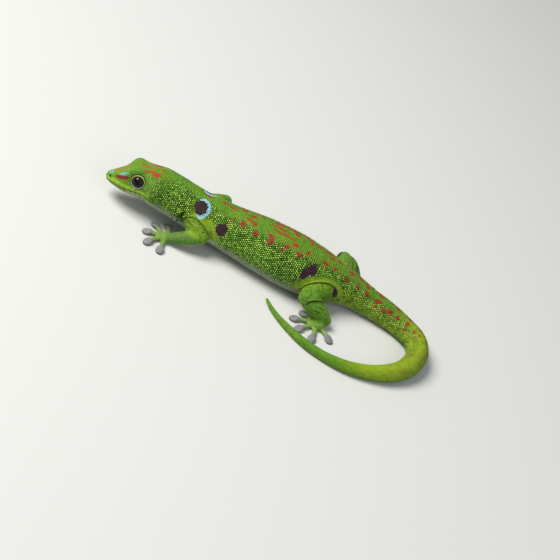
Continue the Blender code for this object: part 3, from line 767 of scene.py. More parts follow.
def read_trunk(points):
    """Place along the spine, angle, and signed distance outside the trunk, for each point."""
    index = np.empty(len(points), int)
    spot = np.empty((len(points), 3))
    away = np.empty(len(points))
    for i, point in enumerate(points):
        spot[i], _, index[i], away[i] = TRUNK_TREE.find_nearest(point)
    row, column = index // TRUNK_SIDES, index % TRUNK_SIDES
    corner = TRUNK_GRID[row, column]
    ahead = TRUNK_GRID[row + 1, column] - corner
    round_way = TRUNK_GRID[row, (column + 1) % TRUNK_SIDES] - corner
    offset = spot - corner
    along = np.clip((offset * ahead).sum(1) / (ahead**2).sum(1), 0, 1)
    turn = np.clip((offset * round_way).sum(1) / np.maximum((round_way**2).sum(1), 1e-9), 0, 1)
    s = TRUNK_AT[row] * (1 - along) + TRUNK_AT[row + 1] * along
    degrees = np.degrees(RING[column] + turn * FULL_TURN / TRUNK_SIDES)
    outward = spot - spine_point(s)
    side = np.sign(((points - spot) * outward).sum(1))
    return s, (degrees + 180) % 360 - 180, away * side


def read_body(points):
    """Body coordinates of points: the trunk's, each point's own form, and how near a second form is."""
    s, degrees, outside = read_trunk(points)
    best, second = outside.copy(), np.full(len(points), FAR_AWAY)
    owner = np.full(len(points), -1)
    x, angle = np.zeros(len(points)), np.zeros(len(points))
    for number, form in enumerate(LENGTHS):
        near = near_to(points, form.start, form.last + FORM_MARGIN)
        at, turned, distance = form.read(points[near])
        closer = distance < best[near]
        second[near] = np.where(closer, best[near], np.minimum(second[near], distance))
        mine = near[closer]
        best[mine] = distance[closer]
        owner[mine], x[mine], angle[mine] = number, at[closer], turned[closer]
    body = {"at": points, "s": s, "degrees": degrees, "owner": owner, "x": x, "angle": angle}
    return body | {"gap": second - best, "outside": outside, "zone": smooth_zones(points, s)}


facts = read_body(read_points(skin.data))
print("points on the trunk:", int((facts["owner"] < 0).sum()), "on limbs:", int((facts["owner"] >= 0).sum()))

# %% [markdown]
# Where a limb leaves the body the fused skin has a sharp crease. Real skin drapes over it. Averaging each
# point with its neighbours, more often the nearer a second form is, rounds these creases and leaves the rest
# as it was. Elsewhere pairs of opposite strokes take off the remesh's small steps without shrinking.

# %% Smoothing
OPPOSITE_STROKES = (0.5, -0.52) * 3
FILLET_STROKE = 0.6
FILLET_REACH = {"upper": 0.65, "lower": 0.5, "palm": 0.35, "digit": 0.16}
FILLET_ROUNDS = 24
FLOOR_LEVEL = 0.02


def neighbour_mean(points, edges):
    count = len(points)
    total = np.zeros_like(points)
    links = np.bincount(edges.ravel(), minlength=count)
    for a, b in ((0, 1), (1, 0)):
        for axis in range(3):
            total[:, axis] += np.bincount(edges[:, a], weights=points[edges[:, b], axis], minlength=count)
    return total / np.maximum(links, 1)[:, None]


def by_form(body, values):
    """Each point's own form's value."""
    return np.array(values)[body["owner"]]


def fillet_weight(body):
    own = by_form(body, [FILLET_REACH[form.kind] for form in LENGTHS])
    return bell(body["gap"], 0, np.where(body["owner"] < 0, FILLET_REACH["upper"], own))


def smooth_skin(mesh, body):
    points, edges = read_points(mesh), read_array(mesh.edges, "vertices", 2, np.int32)
    for stroke in OPPOSITE_STROKES:
        points += (neighbour_mean(points, edges) - points) * stroke
    weight = fillet_weight(body)[:, None] * FILLET_STROKE
    for _ in range(FILLET_ROUNDS):
        points += (neighbour_mean(points, edges) - points) * weight
    points[:, 2] = np.maximum(points[:, 2], FLOOR_LEVEL)
    write_points(mesh, points)


smooth_skin(skin.data, facts)
print("skin smoothed, lowest point mm:", round(float(read_points(skin.data)[:, 2].min()), 3))

# %% [markdown]
# The face needs finer faces than the flank. Only the faces round the eyes, mouth, nostrils and ears are
# divided, once or twice, which keeps the whole skin light.

# %% A finer face
NOSTRIL = {"s": 1.10, "degrees": 25.0, "radius": 0.29, "depth": 0.36, "tall": 1.0}
EAR = {"s": 12.6, "degrees": 17.0, "radius": 0.22, "depth": 0.20, "tall": 1.5}
MOUTH_END_AT = 9.2
FINER_STEPS = ({"eye": 2.5, "pit": 0.8, "mouth": 0.7}, {"eye": 1.6, "pit": 0.45, "mouth": 0.22})
EAR_WIDER = 0.5
LONGEST_LINE = 12.0


def mouth_path():
    """Points on the skin along the mouth, from its left corner round the snout to its right corner."""
    places = np.linspace(MOUTH_END_AT, 0.1, 40)
    left_side = trunk_surface(places, np.radians(mouth_angle(places)))
    right_side = trunk_surface(places[::-1], np.radians(180 - mouth_angle(places[::-1])))
    ahead = spine_frame(np.array([0.0]))[3][0]
    front = (left_side[-1] + right_side[0]) / 2 + ahead * (MUZZLE_ROUND - COAT_DEPTH)
    return np.array([*left_side, front, *right_side])


MOUTH = mouth_path()


def pit_centre(pit, way):
    degrees = pit["degrees"] if way > 0 else 180 - pit["degrees"]
    return trunk_surface(pit["s"], math.radians(degrees))


def pit_distance(points, pit, way):
    """How far points are from a pit's centre, measured so that its tall oval becomes a circle."""
    offset = points - pit_centre(pit, way)
    offset[:, 2] /= pit["tall"]
    return np.linalg.norm(offset, axis=1)


def divide_near(mesh, centres_and_reaches, lines_and_reaches):
    """Splits every face near the given points and lines."""
    points = read_points(mesh)
    near = np.zeros(len(points), bool)
    for centre, reach in centres_and_reaches:
        near[near_to(points, centre, reach)] = True
    for line, reach in lines_and_reaches:
        close = near_to(points, line.mean(0), LONGEST_LINE)
        near[close] |= distance_to_path(points[close], line)[0] < reach
    bm = bmesh.new()
    bm.from_mesh(mesh)
    bm.verts.ensure_lookup_table()
    edges = [e for e in bm.edges if near[e.verts[0].index] and near[e.verts[1].index]]
    bmesh.ops.subdivide_edges(bm, edges=edges, cuts=1, use_grid_fill=True)
    bm.to_mesh(mesh)
    bm.free()


def finer_face(mesh, eye, pit, mouth):
    """Divides the faces within some reach of the eyes, of the nostrils and ears, and of the mouth."""
    centres = []
    for way in (1, -1):
        centres += [(eye_frame(way)[0], eye), (pit_centre(NOSTRIL, way), pit)]
        centres.append((pit_centre(EAR, way), pit + EAR_WIDER))
    divide_near(mesh, centres, [(MOUTH, mouth)])


for reaches in FINER_STEPS:
    finer_face(skin.data, **reaches)
print("skin with a finer face:", len(skin.data.polygons), "faces")

# %% [markdown]
# Folds and openings are pressed into the skin by moving its points along their normals. A fold is a groove
# along a short path on the body with a soft swelling beside it. The lids of a gecko are fused into a clear
# spectacle, so the eye sits in a plain raised ring of skin.

# %% Folds and openings
EYE_OPENING = (1.19, 1.06)
OPENING_SUNK = 0.20
LID_RING = {"radius": 1.20, "thickness": 0.125, "out": 0.63}
LID_OUTER = 1.315
LID_GROOVE = {"radius": 1.43, "depth": 0.10, "width": 0.09}
LID_REACH = 2.2
PIT_WALL = (0.45, 1.05)
PIT_RIM = {"at": 1.45, "width": 0.4, "height": 0.05}
MOUTH_GROOVE = {"depth": 0.26, "width": 0.085}
MOUTH_REACH = 16.0
MOUTH_FADE = 1.5
FOLD_LIP = {"at": 2.1, "height": 0.45}
FOLD_FADE = 0.7
BROW_WRINKLES = {"radii": (1.78, 2.06), "depth": 0.045, "width": 0.07}
FOLDS = {
    "throat_fold": (((15.5, -48), (15.6, -30), (15.8, -8), (16.0, 4)), 0.06, 0.20),
    "neck_fold": (((16.45, -46), (16.5, -26), (16.65, -4), (16.9, 11)), 0.36, 0.16),
    "jaw_fold": (((10.6, -17), (12.0, -22), (13.4, -32)), 0.10, 0.30),
    "shoulder_crease": (
        ((17.2, -30), (17.3, -16), (17.7, -2), (18.7, 8), (19.8, 10), (21.2, 4), (22.3, -8)), 0.20, 0.16
    ),
    "armpit_fold": (((22.2, 6), (23.0, -6), (23.6, -20)), 0.14, 0.28),
    "groin_crease": (((41.8, -18), (42.9, 3), (44.3, 19), (46.0, 25), (47.8, 18)), 0.24, 0.13),
    "groin_fold": (((43.0, 22), (45.0, 38), (47.4, 38), (49.4, 26)), 0.05, 0.40),
}
LIMB_FOLDS = (
    ("leg_lower", ((0.9, 186), (0.9, 150), (1.2, 129), (1.85, 106), (2.55, 78), (3.3, 62)), 0.34, 0.13),
    ("leg_lower", ((2.1, 168), (3.0, 156), (4.1, 142)), 0.15, 0.12),
    ("leg_lower", ((2.6, 128), (3.3, 118), (4.2, 112)), 0.15, 0.12),
    ("leg_lower", ((5.0, 162), (5.4, 130), (5.5, 98)), 0.15, 0.12),
    ("leg_upper", ((4.2, 196), (4.7, 178), (4.8, 158)), 0.12, 0.12),
    ("arm_lower", ((4.9, 156), (5.1, 130), (5.2, 104)), 0.15, 0.12),
)
FOLD_STEPS = 3
CRISP_FOLD = 0.17


def close_path(path):
    """The same path of places and angles with more places in each of its pieces."""
    number = np.linspace(0, len(path) - 1, FOLD_STEPS * (len(path) - 1) + 1)
    return list(zip(*(np.interp(number, range(len(path)), part) for part in zip(*path))))


def fold_lines():
    """Every fold as points on the skin, with its depth and width."""
    lines = []
    for path, depth, width in FOLDS.values():
        lines += [(line, depth, width) for line in on_both_sides(close_path(path))]
    forms = {form.name: form for form in LENGTHS}
    for name, path, depth, width in LIMB_FOLDS:
        for side in ("left", "right"):
            turned = [(x, math.radians(d if side == "left" else 180 - d)) for x, d in close_path(path)]
            lines.append((np.array([forms[f"{side}_{name}"].surface(*place) for place in turned]), depth, width))
    fused = mesh_tree(skin.data)
    return [(np.array([fused.find_nearest(point)[0] for point in line]), *size) for line, *size in lines]


FOLD_LINES = fold_lines()
divide_near(skin.data, [], [(line, 3 * width) for line, _, width in FOLD_LINES if width < CRISP_FOLD])
print("skin with finer folds:", len(skin.data.polygons), "faces")


def fold_profile(points, wider=0.0, widest=1.0):
    """How deep points lie in folds up to some width, and how far they stand up beside them."""
    deep, high = np.zeros((2, len(points)))
    for line, depth, width in (fold for fold in FOLD_LINES if fold[2] < widest):
        middle = line.mean(0)
        reach = np.linalg.norm(line - middle, axis=1).max() + 4 * width
        near = near_to(points, middle, reach)
        away, place = distance_to_path(points[near], line)
        fade = ease(np.minimum(place, along_chords(line)[-1] - place), 0.0, FOLD_FADE)
        deep[near] += depth * fade * bell(away, 0, width + wider)
        high[near] += depth * fade * FOLD_LIP["height"] * bell(away, FOLD_LIP["at"] * width, width)
    return deep, high


def press_folds(points, normals):
    deep, high = fold_profile(points)
    return points + normals * (high - deep)[:, None]


def press_mouth(points, normals):
    near = near_to(points, MOUTH[len(MOUTH) // 2], MOUTH_REACH)
    away, place = distance_to_path(points[near], MOUTH)
    ends = np.minimum(place, along_chords(MOUTH)[-1] - place)
    depth = MOUTH_GROOVE["depth"] * ease(ends, 0.0, MOUTH_FADE)
    pressed = points.copy()
    pressed[near] -= normals[near] * (depth * bell(away, 0, MOUTH_GROOVE["width"]))[:, None]
    return pressed


def press_pit(points, normals, pit, way):
    away = pit_distance(points, pit, way) / pit["radius"]
    depth = pit["depth"] * (1 - ease(away, *PIT_WALL))
    rim = PIT_RIM["height"] * bell(away, PIT_RIM["at"], PIT_RIM["width"])
    return points + normals * (rim - depth)[:, None]


def eye_places(points, way):
    """For each point: its height along the eye's look, its distance from that line, and how far across the
    opening it is, with 1 at the edge. The opening is longer along the head than it is high."""
    centre, look = eye_frame(way)
    forward = spine_frame(np.array([EYE_AT]))[3][0]
    along = unit(forward - look * (forward @ look))
    offset = points - centre
    height = offset @ look
    x, y = offset @ along, offset @ np.cross(along, look) * way
    return height, np.hypot(x, y), np.hypot(x / EYE_OPENING[0], y / EYE_OPENING[1]), y


def open_eye(points, way):
    """Draws the skin behind the eyeball inside the opening, and raises the ring of skin round the ball."""
    look = eye_frame(way)[1]
    height, out, across, y = eye_places(points, way)
    near = (out < LID_REACH) & (height > -0.8)
    ring = np.sqrt(np.clip(LID_RING["thickness"] ** 2 - (out - LID_RING["radius"]) ** 2, 0, 1))
    crest = np.where(ring > 0, LID_RING["out"] + ring, -FAR_AWAY)
    raised = np.maximum(height, crest)
    raised -= LID_GROOVE["depth"] * bell(out, LID_GROOVE["radius"], LID_GROOVE["width"])
    for radius in BROW_WRINKLES["radii"]:
        raised -= BROW_WRINKLES["depth"] * bell(out, radius, BROW_WRINKLES["width"]) * ease(y, 0.2, 1.1)
    ball = np.sqrt(np.clip(EYE_RADIUS**2 - out**2, 0, None))
    target = np.where(across < 1.0, ball - OPENING_SUNK, raised)
    return points + np.where(near, target - height, 0.0)[:, None] * look


def shape_face(mesh):
    points = press_folds(read_points(mesh), read_normals(mesh))
    for way in (1, -1):
        points = open_eye(points, way)
    write_points(mesh, points)
    points = press_mouth(points, read_normals(mesh))
    for way in (1, -1):
        for pit in (NOSTRIL, EAR):
            points = press_pit(points, read_normals(mesh), pit, way)
    points[:, 2] = np.maximum(points[:, 2], FLOOR_LEVEL)
    write_points(mesh, points)


shape_face(skin.data)
print("face shaped")

# %% [markdown]
# The markings are painted in body coordinates, so that skin and scales agree wherever they meet. Each mark is
# an oval with a place along the spine, an angle round the body, a half length, a half width and a turn, read
# off the animal. Marks of the left side are repeated on the right with small seeded changes, as on
# the real animal, which is never quite the same on both sides.

# %% Where the marks are
CROWN_MARKS = (
    (6.6, 96, 0.60, 0.28, -36), (7.4, 86, 0.80, 0.26, 3), (8.8, 102, 0.70, 0.38, -20),
    (7.6, 65, 1.20, 0.24, 24), (9.8, 87, 0.62, 0.32, -10), (9.0, 61, 0.85, 0.72, 0),
)
SNOUT_BLUSH = ((2.6, 82, 1.2, 0.7, 0), (4.3, 82, 1.1, 0.5, 11))
CHEEK_STRIPE = ((3.52, 27, 1.62, 0.41, 6),)
BACK_MARKS = (
    (19.1, 96, 0.85, 0.40, 8), (23.0, 103, 0.95, 0.42, -12), (24.6, 98, 0.90, 0.40, -2),
    (25.5, 67, 0.36, 0.33, 0), (27.5, 68, 0.90, 0.52, -69), (28.2, 85, 0.53, 0.36, 3),
    (29.4, 81, 0.75, 0.52, -19), (28.6, 96, 0.57, 0.24, 1), (30.4, 111, 0.47, 0.30, 3),
    (30.4, 57, 0.66, 0.58, -60), (33.4, 68, 0.80, 0.52, -22), (33.8, 53, 0.72, 0.56, 25),
    (35.4, 87, 2.60, 0.24, -3), (34.4, 96, 1.90, 0.26, -1), (35.5, 112, 2.50, 0.34, -2),
    (36.8, 63, 0.64, 0.54, 60), (36.3, 49, 0.36, 0.28, 30), (38.0, 77, 0.70, 0.56, 11),
    (39.3, 60, 0.74, 0.52, 3), (40.6, 75, 0.55, 0.44, 60), (40.2, 111, 0.90, 0.48, 0),
    (42.4, 106, 0.80, 0.46, 0), (44.7, 110, 0.95, 0.46, 10), (45.3, 96, 0.62, 0.48, 20),
    (44.0, 73, 0.78, 0.46, -7), (47.0, 101, 0.72, 0.48, 20), (46.1, 72, 0.48, 0.44, 13),
    (50.2, 94, 0.80, 0.54, 30), (49.0, 62, 0.64, 0.52, -4), (52.6, 102, 0.60, 0.44, 0),
    (52.3, 67, 0.54, 0.44, -67), (54.4, 92, 0.68, 0.46, 9), (54.8, 63, 0.64, 0.54, -45),
    (57.6, 66, 0.90, 0.46, 23), (57.9, 99, 0.60, 0.46, 12), (57.7, 35, 0.36, 0.28, 33),
    (59.5, 45, 0.60, 0.40, -54), (60.7, 57, 0.70, 0.52, 19), (62.7, 59, 0.50, 0.46, -51),
    (61.7, 99, 0.52, 0.38, -40), (65.0, 75, 0.52, 0.44, -49), (65.6, 39, 0.36, 0.22, 44),
    (67.3, 73, 0.42, 0.34, 69), (68.5, 88, 0.36, 0.30, -19),
)
EYE_SPOTS = {
    "shoulder_spot": (19.1, 48, 1.50, 1.24, -70),
    "armpit_spot": (24.2, 24, 1.21, 1.14, -87),
    "flank_spot": (42.0, 31, 1.93, 1.12, 63),
    "vent_spot": (48.0, 9, 1.21, 0.60, -54),
}
PALE_PATCHES = ((3.8, 43, 1.05, 0.31, 4), (1.2, 66, 0.6, 0.45, 0))
RIM_OUT = 0.60
THINNEST_MARK = 0.31
LONGEST_MARK = 3.5
MIRROR_SEED = 7
MIRROR_SHIFTS = (0.35, 3.0, 0.08, 0.06, 8.0)
MIDLINE_DEG = 82


def turned_over(mark):
    s, degrees, length, width, turn = mark
    return s, 180 - degrees, length, width, -turn


def exactly_mirrored(marks):
    """Marks of both sides, the same on each."""
    return (*marks, *map(turned_over, marks))


def mirrored(marks):
    """Marks of both sides. The other side's, off the midline, are each moved, turned and resized a little."""
    rng = np.random.default_rng(MIRROR_SEED)
    shifts = [rng.normal(0, MIRROR_SHIFTS) for _ in marks]
    other = [np.add(turned_over(mark), shift) for mark, shift in zip(marks, shifts) if mark[1] < MIDLINE_DEG]
    return (*marks, *other)


def mark_axes(s, degrees):
    """A mark's centre on the skin, with the ways towards the tail and up round the body."""
    angle = math.radians(degrees)
    here = trunk_surface(s, angle)
    along = trunk_surface(s + 0.1, angle) - here
    upward = trunk_surface(s, angle + (0.03 if abs(degrees) <= 90 else -0.03)) - here
    return here, unit(along), unit(upward)


def oval_distance(points, mark):
    """How far points are from an oval mark's centre, with 1 at its edge, and their tailward and upward parts."""
    s, degrees, length, width, turn = mark
    here, along, upward = mark_axes(s, degrees)
    offset = points - here
    x, y = offset @ along, offset @ upward
    t = math.radians(turn if abs(degrees) <= 90 else -turn)
    u = (x * math.cos(t) + y * math.sin(t)) / length
    v = (y * math.cos(t) - x * math.sin(t)) / max(width, THINNEST_MARK)
    elsewhere = np.linalg.norm(offset, axis=1) > LONGEST_MARK
    return np.where(elsewhere, FAR_AWAY, np.hypot(u, v)), x, y


def ovals_mask(points, marks, soft=0.16):
    mask = np.zeros(len(points))
    for mark in marks:
        away, _, _ = oval_distance(points, mark)
        mask = np.maximum(mask, 1 - ease(away, 1 - soft, 1 + soft))
    return mask


print("red marks:", len(mirrored(BACK_MARKS)) + len(mirrored(CROWN_MARKS)))

# %% [markdown]
# The broad tints come next. The flank's scales are lime beads on dark skin, the back is an even green, the
# belly and chin are pale grey green, the tail turns yellow round its bend, and the pads are slate grey.
# Each tint is a number from 0 to 1 at every point, and three such numbers travel together as one attribute.

# %% Tints of each region
BELLY_EDGE = ((11, 15), (14, 19), (24, 15), (40, 14), (60, 31))
BACK_LIMIT = ((8, 62), (12, 74), (18, 73), (28, 65), (38, 61), (46, 67), (60, 70))
OUTWARD = {"left": np.array([0.0, -0.79, 0.62]), "right": np.array([0.0, 0.79, 0.62])}
BLOTCH_SIZE = 0.5
RIM_STEP = (62, 90)
STEPS_ALONG = {
    "snout": (1.5, 5), "head": (5, 13), "temple": (7.8, 12.5), "neck": (12, 16), "shoulder": (15, 20),
    "chest": (24, 29), "groin": (44, 52), "haze ends": (50, 60), "belly ends": (52, 62),
    "tail's yellow": (60, 69), "vent ends": (62, 68), "plain tail": (60, 80), "beads end": (62, 86),
    "yellow ends": (84, 93),
}
STEPS_ROUND = {
    "tail's side": (-30, 10),
    "belly": (-11, 9),
    "back": (-12, 14),
    "tail's top": (-10, 30),
    "face": (10, 45),
    "flank": (20, 55),
    "cheek": (40, 62),
    "crown": (48, 66),
    "snout's top": (50, 64),
}


def limb_rim(form, angle):
    """1 on a limb's upper and lower edges seen from its side: paler skin, partly a painted sheen."""
    outward = OUTWARD[form.limb.split("_")[0]]
    outer = math.atan2(outward @ form.up, outward @ form.side)
    turned = np.abs((angle - outer + math.pi) % FULL_TURN - math.pi)
    return ease(np.degrees(turned), *RIM_STEP)


def blotches(points, size):
    """Soft patches from 0 to 1, the same for skin and scales."""
    return ease(np.array([noise.noise(Vector(point) / size) for point in points]), -0.15, 0.30)


def back_share(s, folded):
    """1 on the back and 0 on the flank, softly parted along the back's limit."""
    return ease(folded - np.interp(s, *zip(*BACK_LIMIT)), *STEPS_ROUND["back"])


def trunk_masks(s, folded, zone, on_trunk):
    """The trunk's tints: pale below, contrast of beads on dark skin, yellow, red haze and cool green."""
    along = {name: ease(s, *step) for name, step in STEPS_ALONG.items()}
    above = {name: ease(folded, *step) for name, step in STEPS_ROUND.items()}
    belly_edge = folded + np.interp(s, *zip(*BELLY_EDGE))
    pale = 1 - ease(np.where(s < 11, folded - mouth_angle(s) + 10, belly_edge), *STEPS_ROUND["belly"])
    pale *= (1 - along["belly ends"]) * on_trunk
    beaded = ease(s - 1.6 * above["face"], *STEPS_ALONG["temple"])
    contrast = beaded * (1 - 0.86 * back_share(s, folded)) * (1 - 0.80 * along["beads end"])
    plain = (0.04 + 0.12 * along["head"]) * (1 - 0.4 * along["plain tail"])
    plain += 0.30 * along["snout"] * (1 - along["neck"]) * (1 - above["cheek"])
    contrast = (plain + (1 - plain) * contrast) * (1 - 0.90 * zone) * (1 - pale * (0.75 - 0.35 * along["shoulder"]))
    warm = 0.92 * along["tail's yellow"] * (1 - along["yellow ends"]) * above["tail's side"]
    warm = np.maximum(warm, 0.5 * along["groin"] * (1 - along["vent ends"]) * (1 - above["flank"])) * on_trunk
    haze = 0.28 * bell(s, 7.8, 3.4) * above["crown"] + 0.22 * bell(folded, 68, 9) * along["chest"]
    haze = haze * (1 - along["haze ends"]) + 0.42 * bell(s, 2.6, 2.0) * above["snout's top"]
    haze = np.clip(haze + 0.48 * bell(s, 75, 6) * above["tail's top"], 0, 1) * on_trunk
    cool = 0.65 * bell(s, 7.8, 2.0) * bell(folded, 12, 20) * on_trunk
    return {"pale": pale, "contrast": contrast, "warm": warm, "haze": haze, "cool": cool}


def region_masks(points, body):
    """The trunk's masks, overwritten where a limb's own skin begins."""
    zone = body["zone"]
    on_trunk = np.where(body["owner"] < 0, 1.0, 1 - ease(body["outside"], 0.0, 0.5))
    masks = trunk_masks(body["s"], fold_degrees(body["degrees"]), zone, on_trunk)
    pale, contrast, cool, gold = masks["pale"], masks["contrast"], masks["cool"], zone.copy()
    pad, edge = np.zeros((2, len(points)))
    for number, form in enumerate(LENGTHS):
        mine = body["owner"] == number
        x, angle = body["x"][mine], body["angle"][mine]
        an_arm = "arm" in form.name
        patch = blotches(points[mine], BLOTCH_SIZE)
        contrast[mine] = 0.14 + 0.56 * patch
        if form.kind == "lower":
            # The rims turn gold: partly the limb's paler skin, partly a painted sheen along its outline.
            rim = limb_rim(form, angle)
            cool[mine] = (1.0 if an_arm else 0.25) * ease(x, -0.6, 1.0) * (1 - rim)
            gold[mine] = np.maximum(gold[mine], 0.70 * rim)
            contrast[mine] = 0.16 + 0.30 * patch if an_arm else 0.12 + 0.52 * patch
        elif form.kind == "upper":
            gold[mine] = np.maximum(0.55 * gold[mine], 0.60 * limb_rim(form, angle))
        elif form.kind == "palm":
            pale[mine], gold[mine] = (0.14, 0.50) if an_arm else (0.06, 0.20)
        else:
            gold[mine], pale[mine], contrast[mine] = 0.60, 0.34, 0.15
            pad[mine] = ease((x - form.run) / PAD_LENGTH, -0.95, -0.60)
            # Painted shade on the pad's rim, darker towards the floor, partly the darker colour of its underside.
            edge[mine] = pad[mine] * (1 - ease(points[mine, 2], 0.12, 0.46))
    return masks | {"gold": gold, "pad": pad, "edge": edge, "on_trunk": on_trunk}


print("steps along and round the trunk:", len(STEPS_ALONG), len(STEPS_ROUND))

# %% [markdown]
# The face has masks of its own: the lime plates' band above the mouth and the paler one below it, the bright
# ring round each eye, and painted shade as black in the pits, the mouth line and the grooves round the eyes.
# The shoulder's eye spot has a pale blue crescent behind it.

# %% Masks of the face and the spots
UPPER_LIP = 0.84
LOWER_LIP = 0.40
LIPS_END_AT = 12.5
PIT_BLACK = (0.85, 1.12)
CREASE_DEPTH = 0.26


def lip_height(s, full):
    """How tall the lips' plates are at a place along the head."""
    return full * (0.60 + 0.40 * ease(s, 0, 2.2)) * (1 - 0.50 * ease(s, 6.0, 9.2))


def lip_masks(points, body):
    """The lime band of the upper lip, the pale one of the lower, and painted shade in the mouth line between."""
    upper, lower, line = np.zeros((3, len(points)))
    near = np.flatnonzero((body["s"] < LIPS_END_AT) & (body["owner"] < 0))
    s = body["s"][near]
    away = distance_to_path(points[near], MOUTH)[0]
    above = fold_degrees(body["degrees"][near]) > mouth_angle(s)
    fade = 1 - ease(s, 9.0, 11.0)
    lips = ((upper, above, UPPER_LIP, 0.08, 0.34), (lower, ~above, LOWER_LIP, 0.05, 0.25))
    for mask, here, full, start, end in lips:
        tall = lip_height(s, full)
        mask[near] = here * fade * (1 - ease(away, tall + start, tall + end))
    # Painted shade along the groove of the mouth.
    line[near] = 0.8 * bell(away, 0, 0.075) * (1 - ease(s, 9.0, 9.6))
    return upper, lower, line


def eye_masks(points):
    """The bright ring round each eye, its whiter lower half, and painted shade just inside and outside it."""
    ring, low, dark = np.zeros((3, len(points)))
    for way in (1, -1):
        height, out, across, y = eye_places(points, way)
        near = height > -0.5
        ring = np.maximum(ring, near * (1 - ease(out, LID_OUTER - 0.03, LID_OUTER + 0.03)))
        low = np.maximum(low, near * (out < LID_OUTER) * (1 - ease(y, -0.9, 0.1)))
        # Painted shade: the groove round the ring, darker under the brow, and the skin in the opening round the
        # ball.
        groove = bell(out, LID_GROOVE["radius"], LID_GROOVE["width"])
        dark = np.maximum(dark, near * (0.55 + 0.4 * ease(y, 0, 0.8)) * groove)
        dark = np.maximum(dark, near * (1 - ease(across, 1.0, 1.05)))
    return ring, low, dark


def pit_shade(points):
    """Painted shade: black in the nostrils and ears."""
    black = np.zeros(len(points))
    for way in (1, -1):
        for pit in (NOSTRIL, EAR):
            black = np.maximum(black, 1 - ease(pit_distance(points, pit, way) / pit["radius"], *PIT_BLACK))
    return black


def spot_rim(points):
    """The pale blue crescent on the tailward side of the shoulder's eye spot."""
    rim = np.zeros(len(points))
    for mark in exactly_mirrored((EYE_SPOTS["shoulder_spot"],)):
        away, x, y = oval_distance(points, mark)
        wide = RIM_OUT * ease(x * 0.9 + y * 0.35, -1.0, 0.4)
        outer = 1 + wide / mark[2]
        rim = np.maximum(rim, ease(away, 0.98, 1.04) * (1 - ease(away, outer, outer + 0.08)) * (wide > 0.12))
    return rim


# %% Painting the skin
def paint(points, body):
    """Every mask that skin and scales take their colours from, as attributes of three numbers each."""
    masks = region_masks(points, body)
    upper, lower, line = lip_masks(points, body)
    ring, low, dark = eye_masks(points)
    on_trunk = masks["on_trunk"]
    red = np.maximum(ovals_mask(points, mirrored(BACK_MARKS)), ovals_mask(points, mirrored(CROWN_MARKS)))
    stripe = ovals_mask(points, exactly_mirrored(CHEEK_STRIPE), 0.1)
    red = np.maximum(red, stripe)
    red = np.maximum(red, 0.28 * ovals_mask(points, mirrored(SNOUT_BLUSH), 0.5)) * on_trunk * (1 - ring)
    plum = ovals_mask(points, exactly_mirrored(tuple(EYE_SPOTS.values())), 0.06)
    plum = np.maximum(plum, (0.45 + 0.30 * ease(body["s"], 3.6, 4.8)) * stripe)
    plum = np.maximum(plum, 0.22 * red * masks["contrast"])
    plum *= np.where((body["s"] > 39) & (body["s"] < 46), 1 - ease(body["zone"], 0.25, 0.55), 1.0)
    sky = np.maximum(spot_rim(points), 0.45 * ovals_mask(points, exactly_mirrored(PALE_PATCHES), 0.35))
    sky = np.maximum(sky * (1 - ring), 0.55 * low)
    # Painted shade, laid as black: deep in folds, in pits, along the mouth and round the eyes.
    deep = np.clip(fold_profile(points, 0.02)[0] / CREASE_DEPTH, 0, 1)
    black = np.maximum.reduce([pit_shade(points), dark, line, 0.85 * deep])
    lime = np.maximum(upper, ring)
    pale = np.maximum(masks["pale"], lower * 0.22) * (1 - ring)
    return {
        "marks": np.stack([red, plum, sky], 1),
        "tints": np.stack([pale, masks["warm"], masks["cool"]], 1),
        # The third of the hues is painted shade on the pads' lower rims.
        "hues": np.stack([masks["haze"], masks["gold"], masks["edge"]], 1),
        "forms": np.stack([lime, masks["pad"], black], 1),
        "grain": np.stack([masks["contrast"], np.zeros(len(points)), ring], 1),
    }


def store(mesh, name, values):
    """Keeps three numbers at every point of the mesh under a name that nodes can read."""
    attribute = mesh.attributes.new(name, "FLOAT_VECTOR", "POINT")
    attribute.data.foreach_set("vector", np.asarray(values, np.float32).ravel())


MOST_TRIANGLES = 196000
MARK_MARGIN = 1.5
THINNED = (12.0, 80.0)


def thin_out(obj):
    """Merges faces of the trunk where scales cover it, and keeps those of the face, the marks and the limbs."""
    points = read_points(obj.data)
    body = read_body(points)
    plain = (body["owner"] < 0) & (body["s"] > THINNED[0]) & (body["s"] < THINNED[1])
    plain &= (body["zone"] < 0.05) & (body["gap"] > 0.5)
    marks = [*mirrored(BACK_MARKS), *mirrored(CROWN_MARKS), *exactly_mirrored(tuple(EYE_SPOTS.values()))]
    for mark in marks:
        plain &= oval_distance(points, mark)[0] > MARK_MARGIN
    group = obj.vertex_groups.new(name="covered")
    group.add(np.flatnonzero(plain).tolist(), 1.0, "REPLACE")
    fewer = obj.modifiers.new("fewer faces", "DECIMATE")
    fewer.ratio = min(1.0, MOST_TRIANGLES / count_triangles(obj))
    fewer.vertex_group = group.name
    settled(obj)
    obj.vertex_groups.clear()


thin_out(skin)
skin_points = read_points(skin.data)
skin_body = read_body(skin_points)
for name, values in paint(skin_points, skin_body).items():
    store(skin.data, name, values)
print("skin painted:", [a.name for a in skin.data.attributes])

# %% [markdown]
# A day gecko wears granular scales: tiny domes side by side, largest on the flank and smallest on the snout
# and toes. Their roots are laid in rows round each form, as scales grow, with a pitch that changes over the
# body. Rows from two forms meet at a limb's root, so doubles are dropped, bare places are filled, and a few
# rounds of gentle pushing even the rest out.

# %% How large the scales are
PITCH_ALONG = (
    (0, 0.175), (3, 0.195), (6, 0.24), (8, 0.30), (10, 0.37), (13, 0.40), (20, 0.43),
    (40, 0.44), (52, 0.46), (64, 0.45), (74, 0.40), (86, 0.31), (98, 0.24), (110, 0.18),
)
FINE_PITCH = 0.26
FINER_BACK = 0.36
FINER_BELLY = 0.14
FORM_PITCH = {"upper": 0.28, "lower": 0.25, "palm": 0.21, "digit": 0.18}
ROW_SHARE = 0.88
TRUNK_RING_STEPS = 240
FORM_RING_STEPS = 96


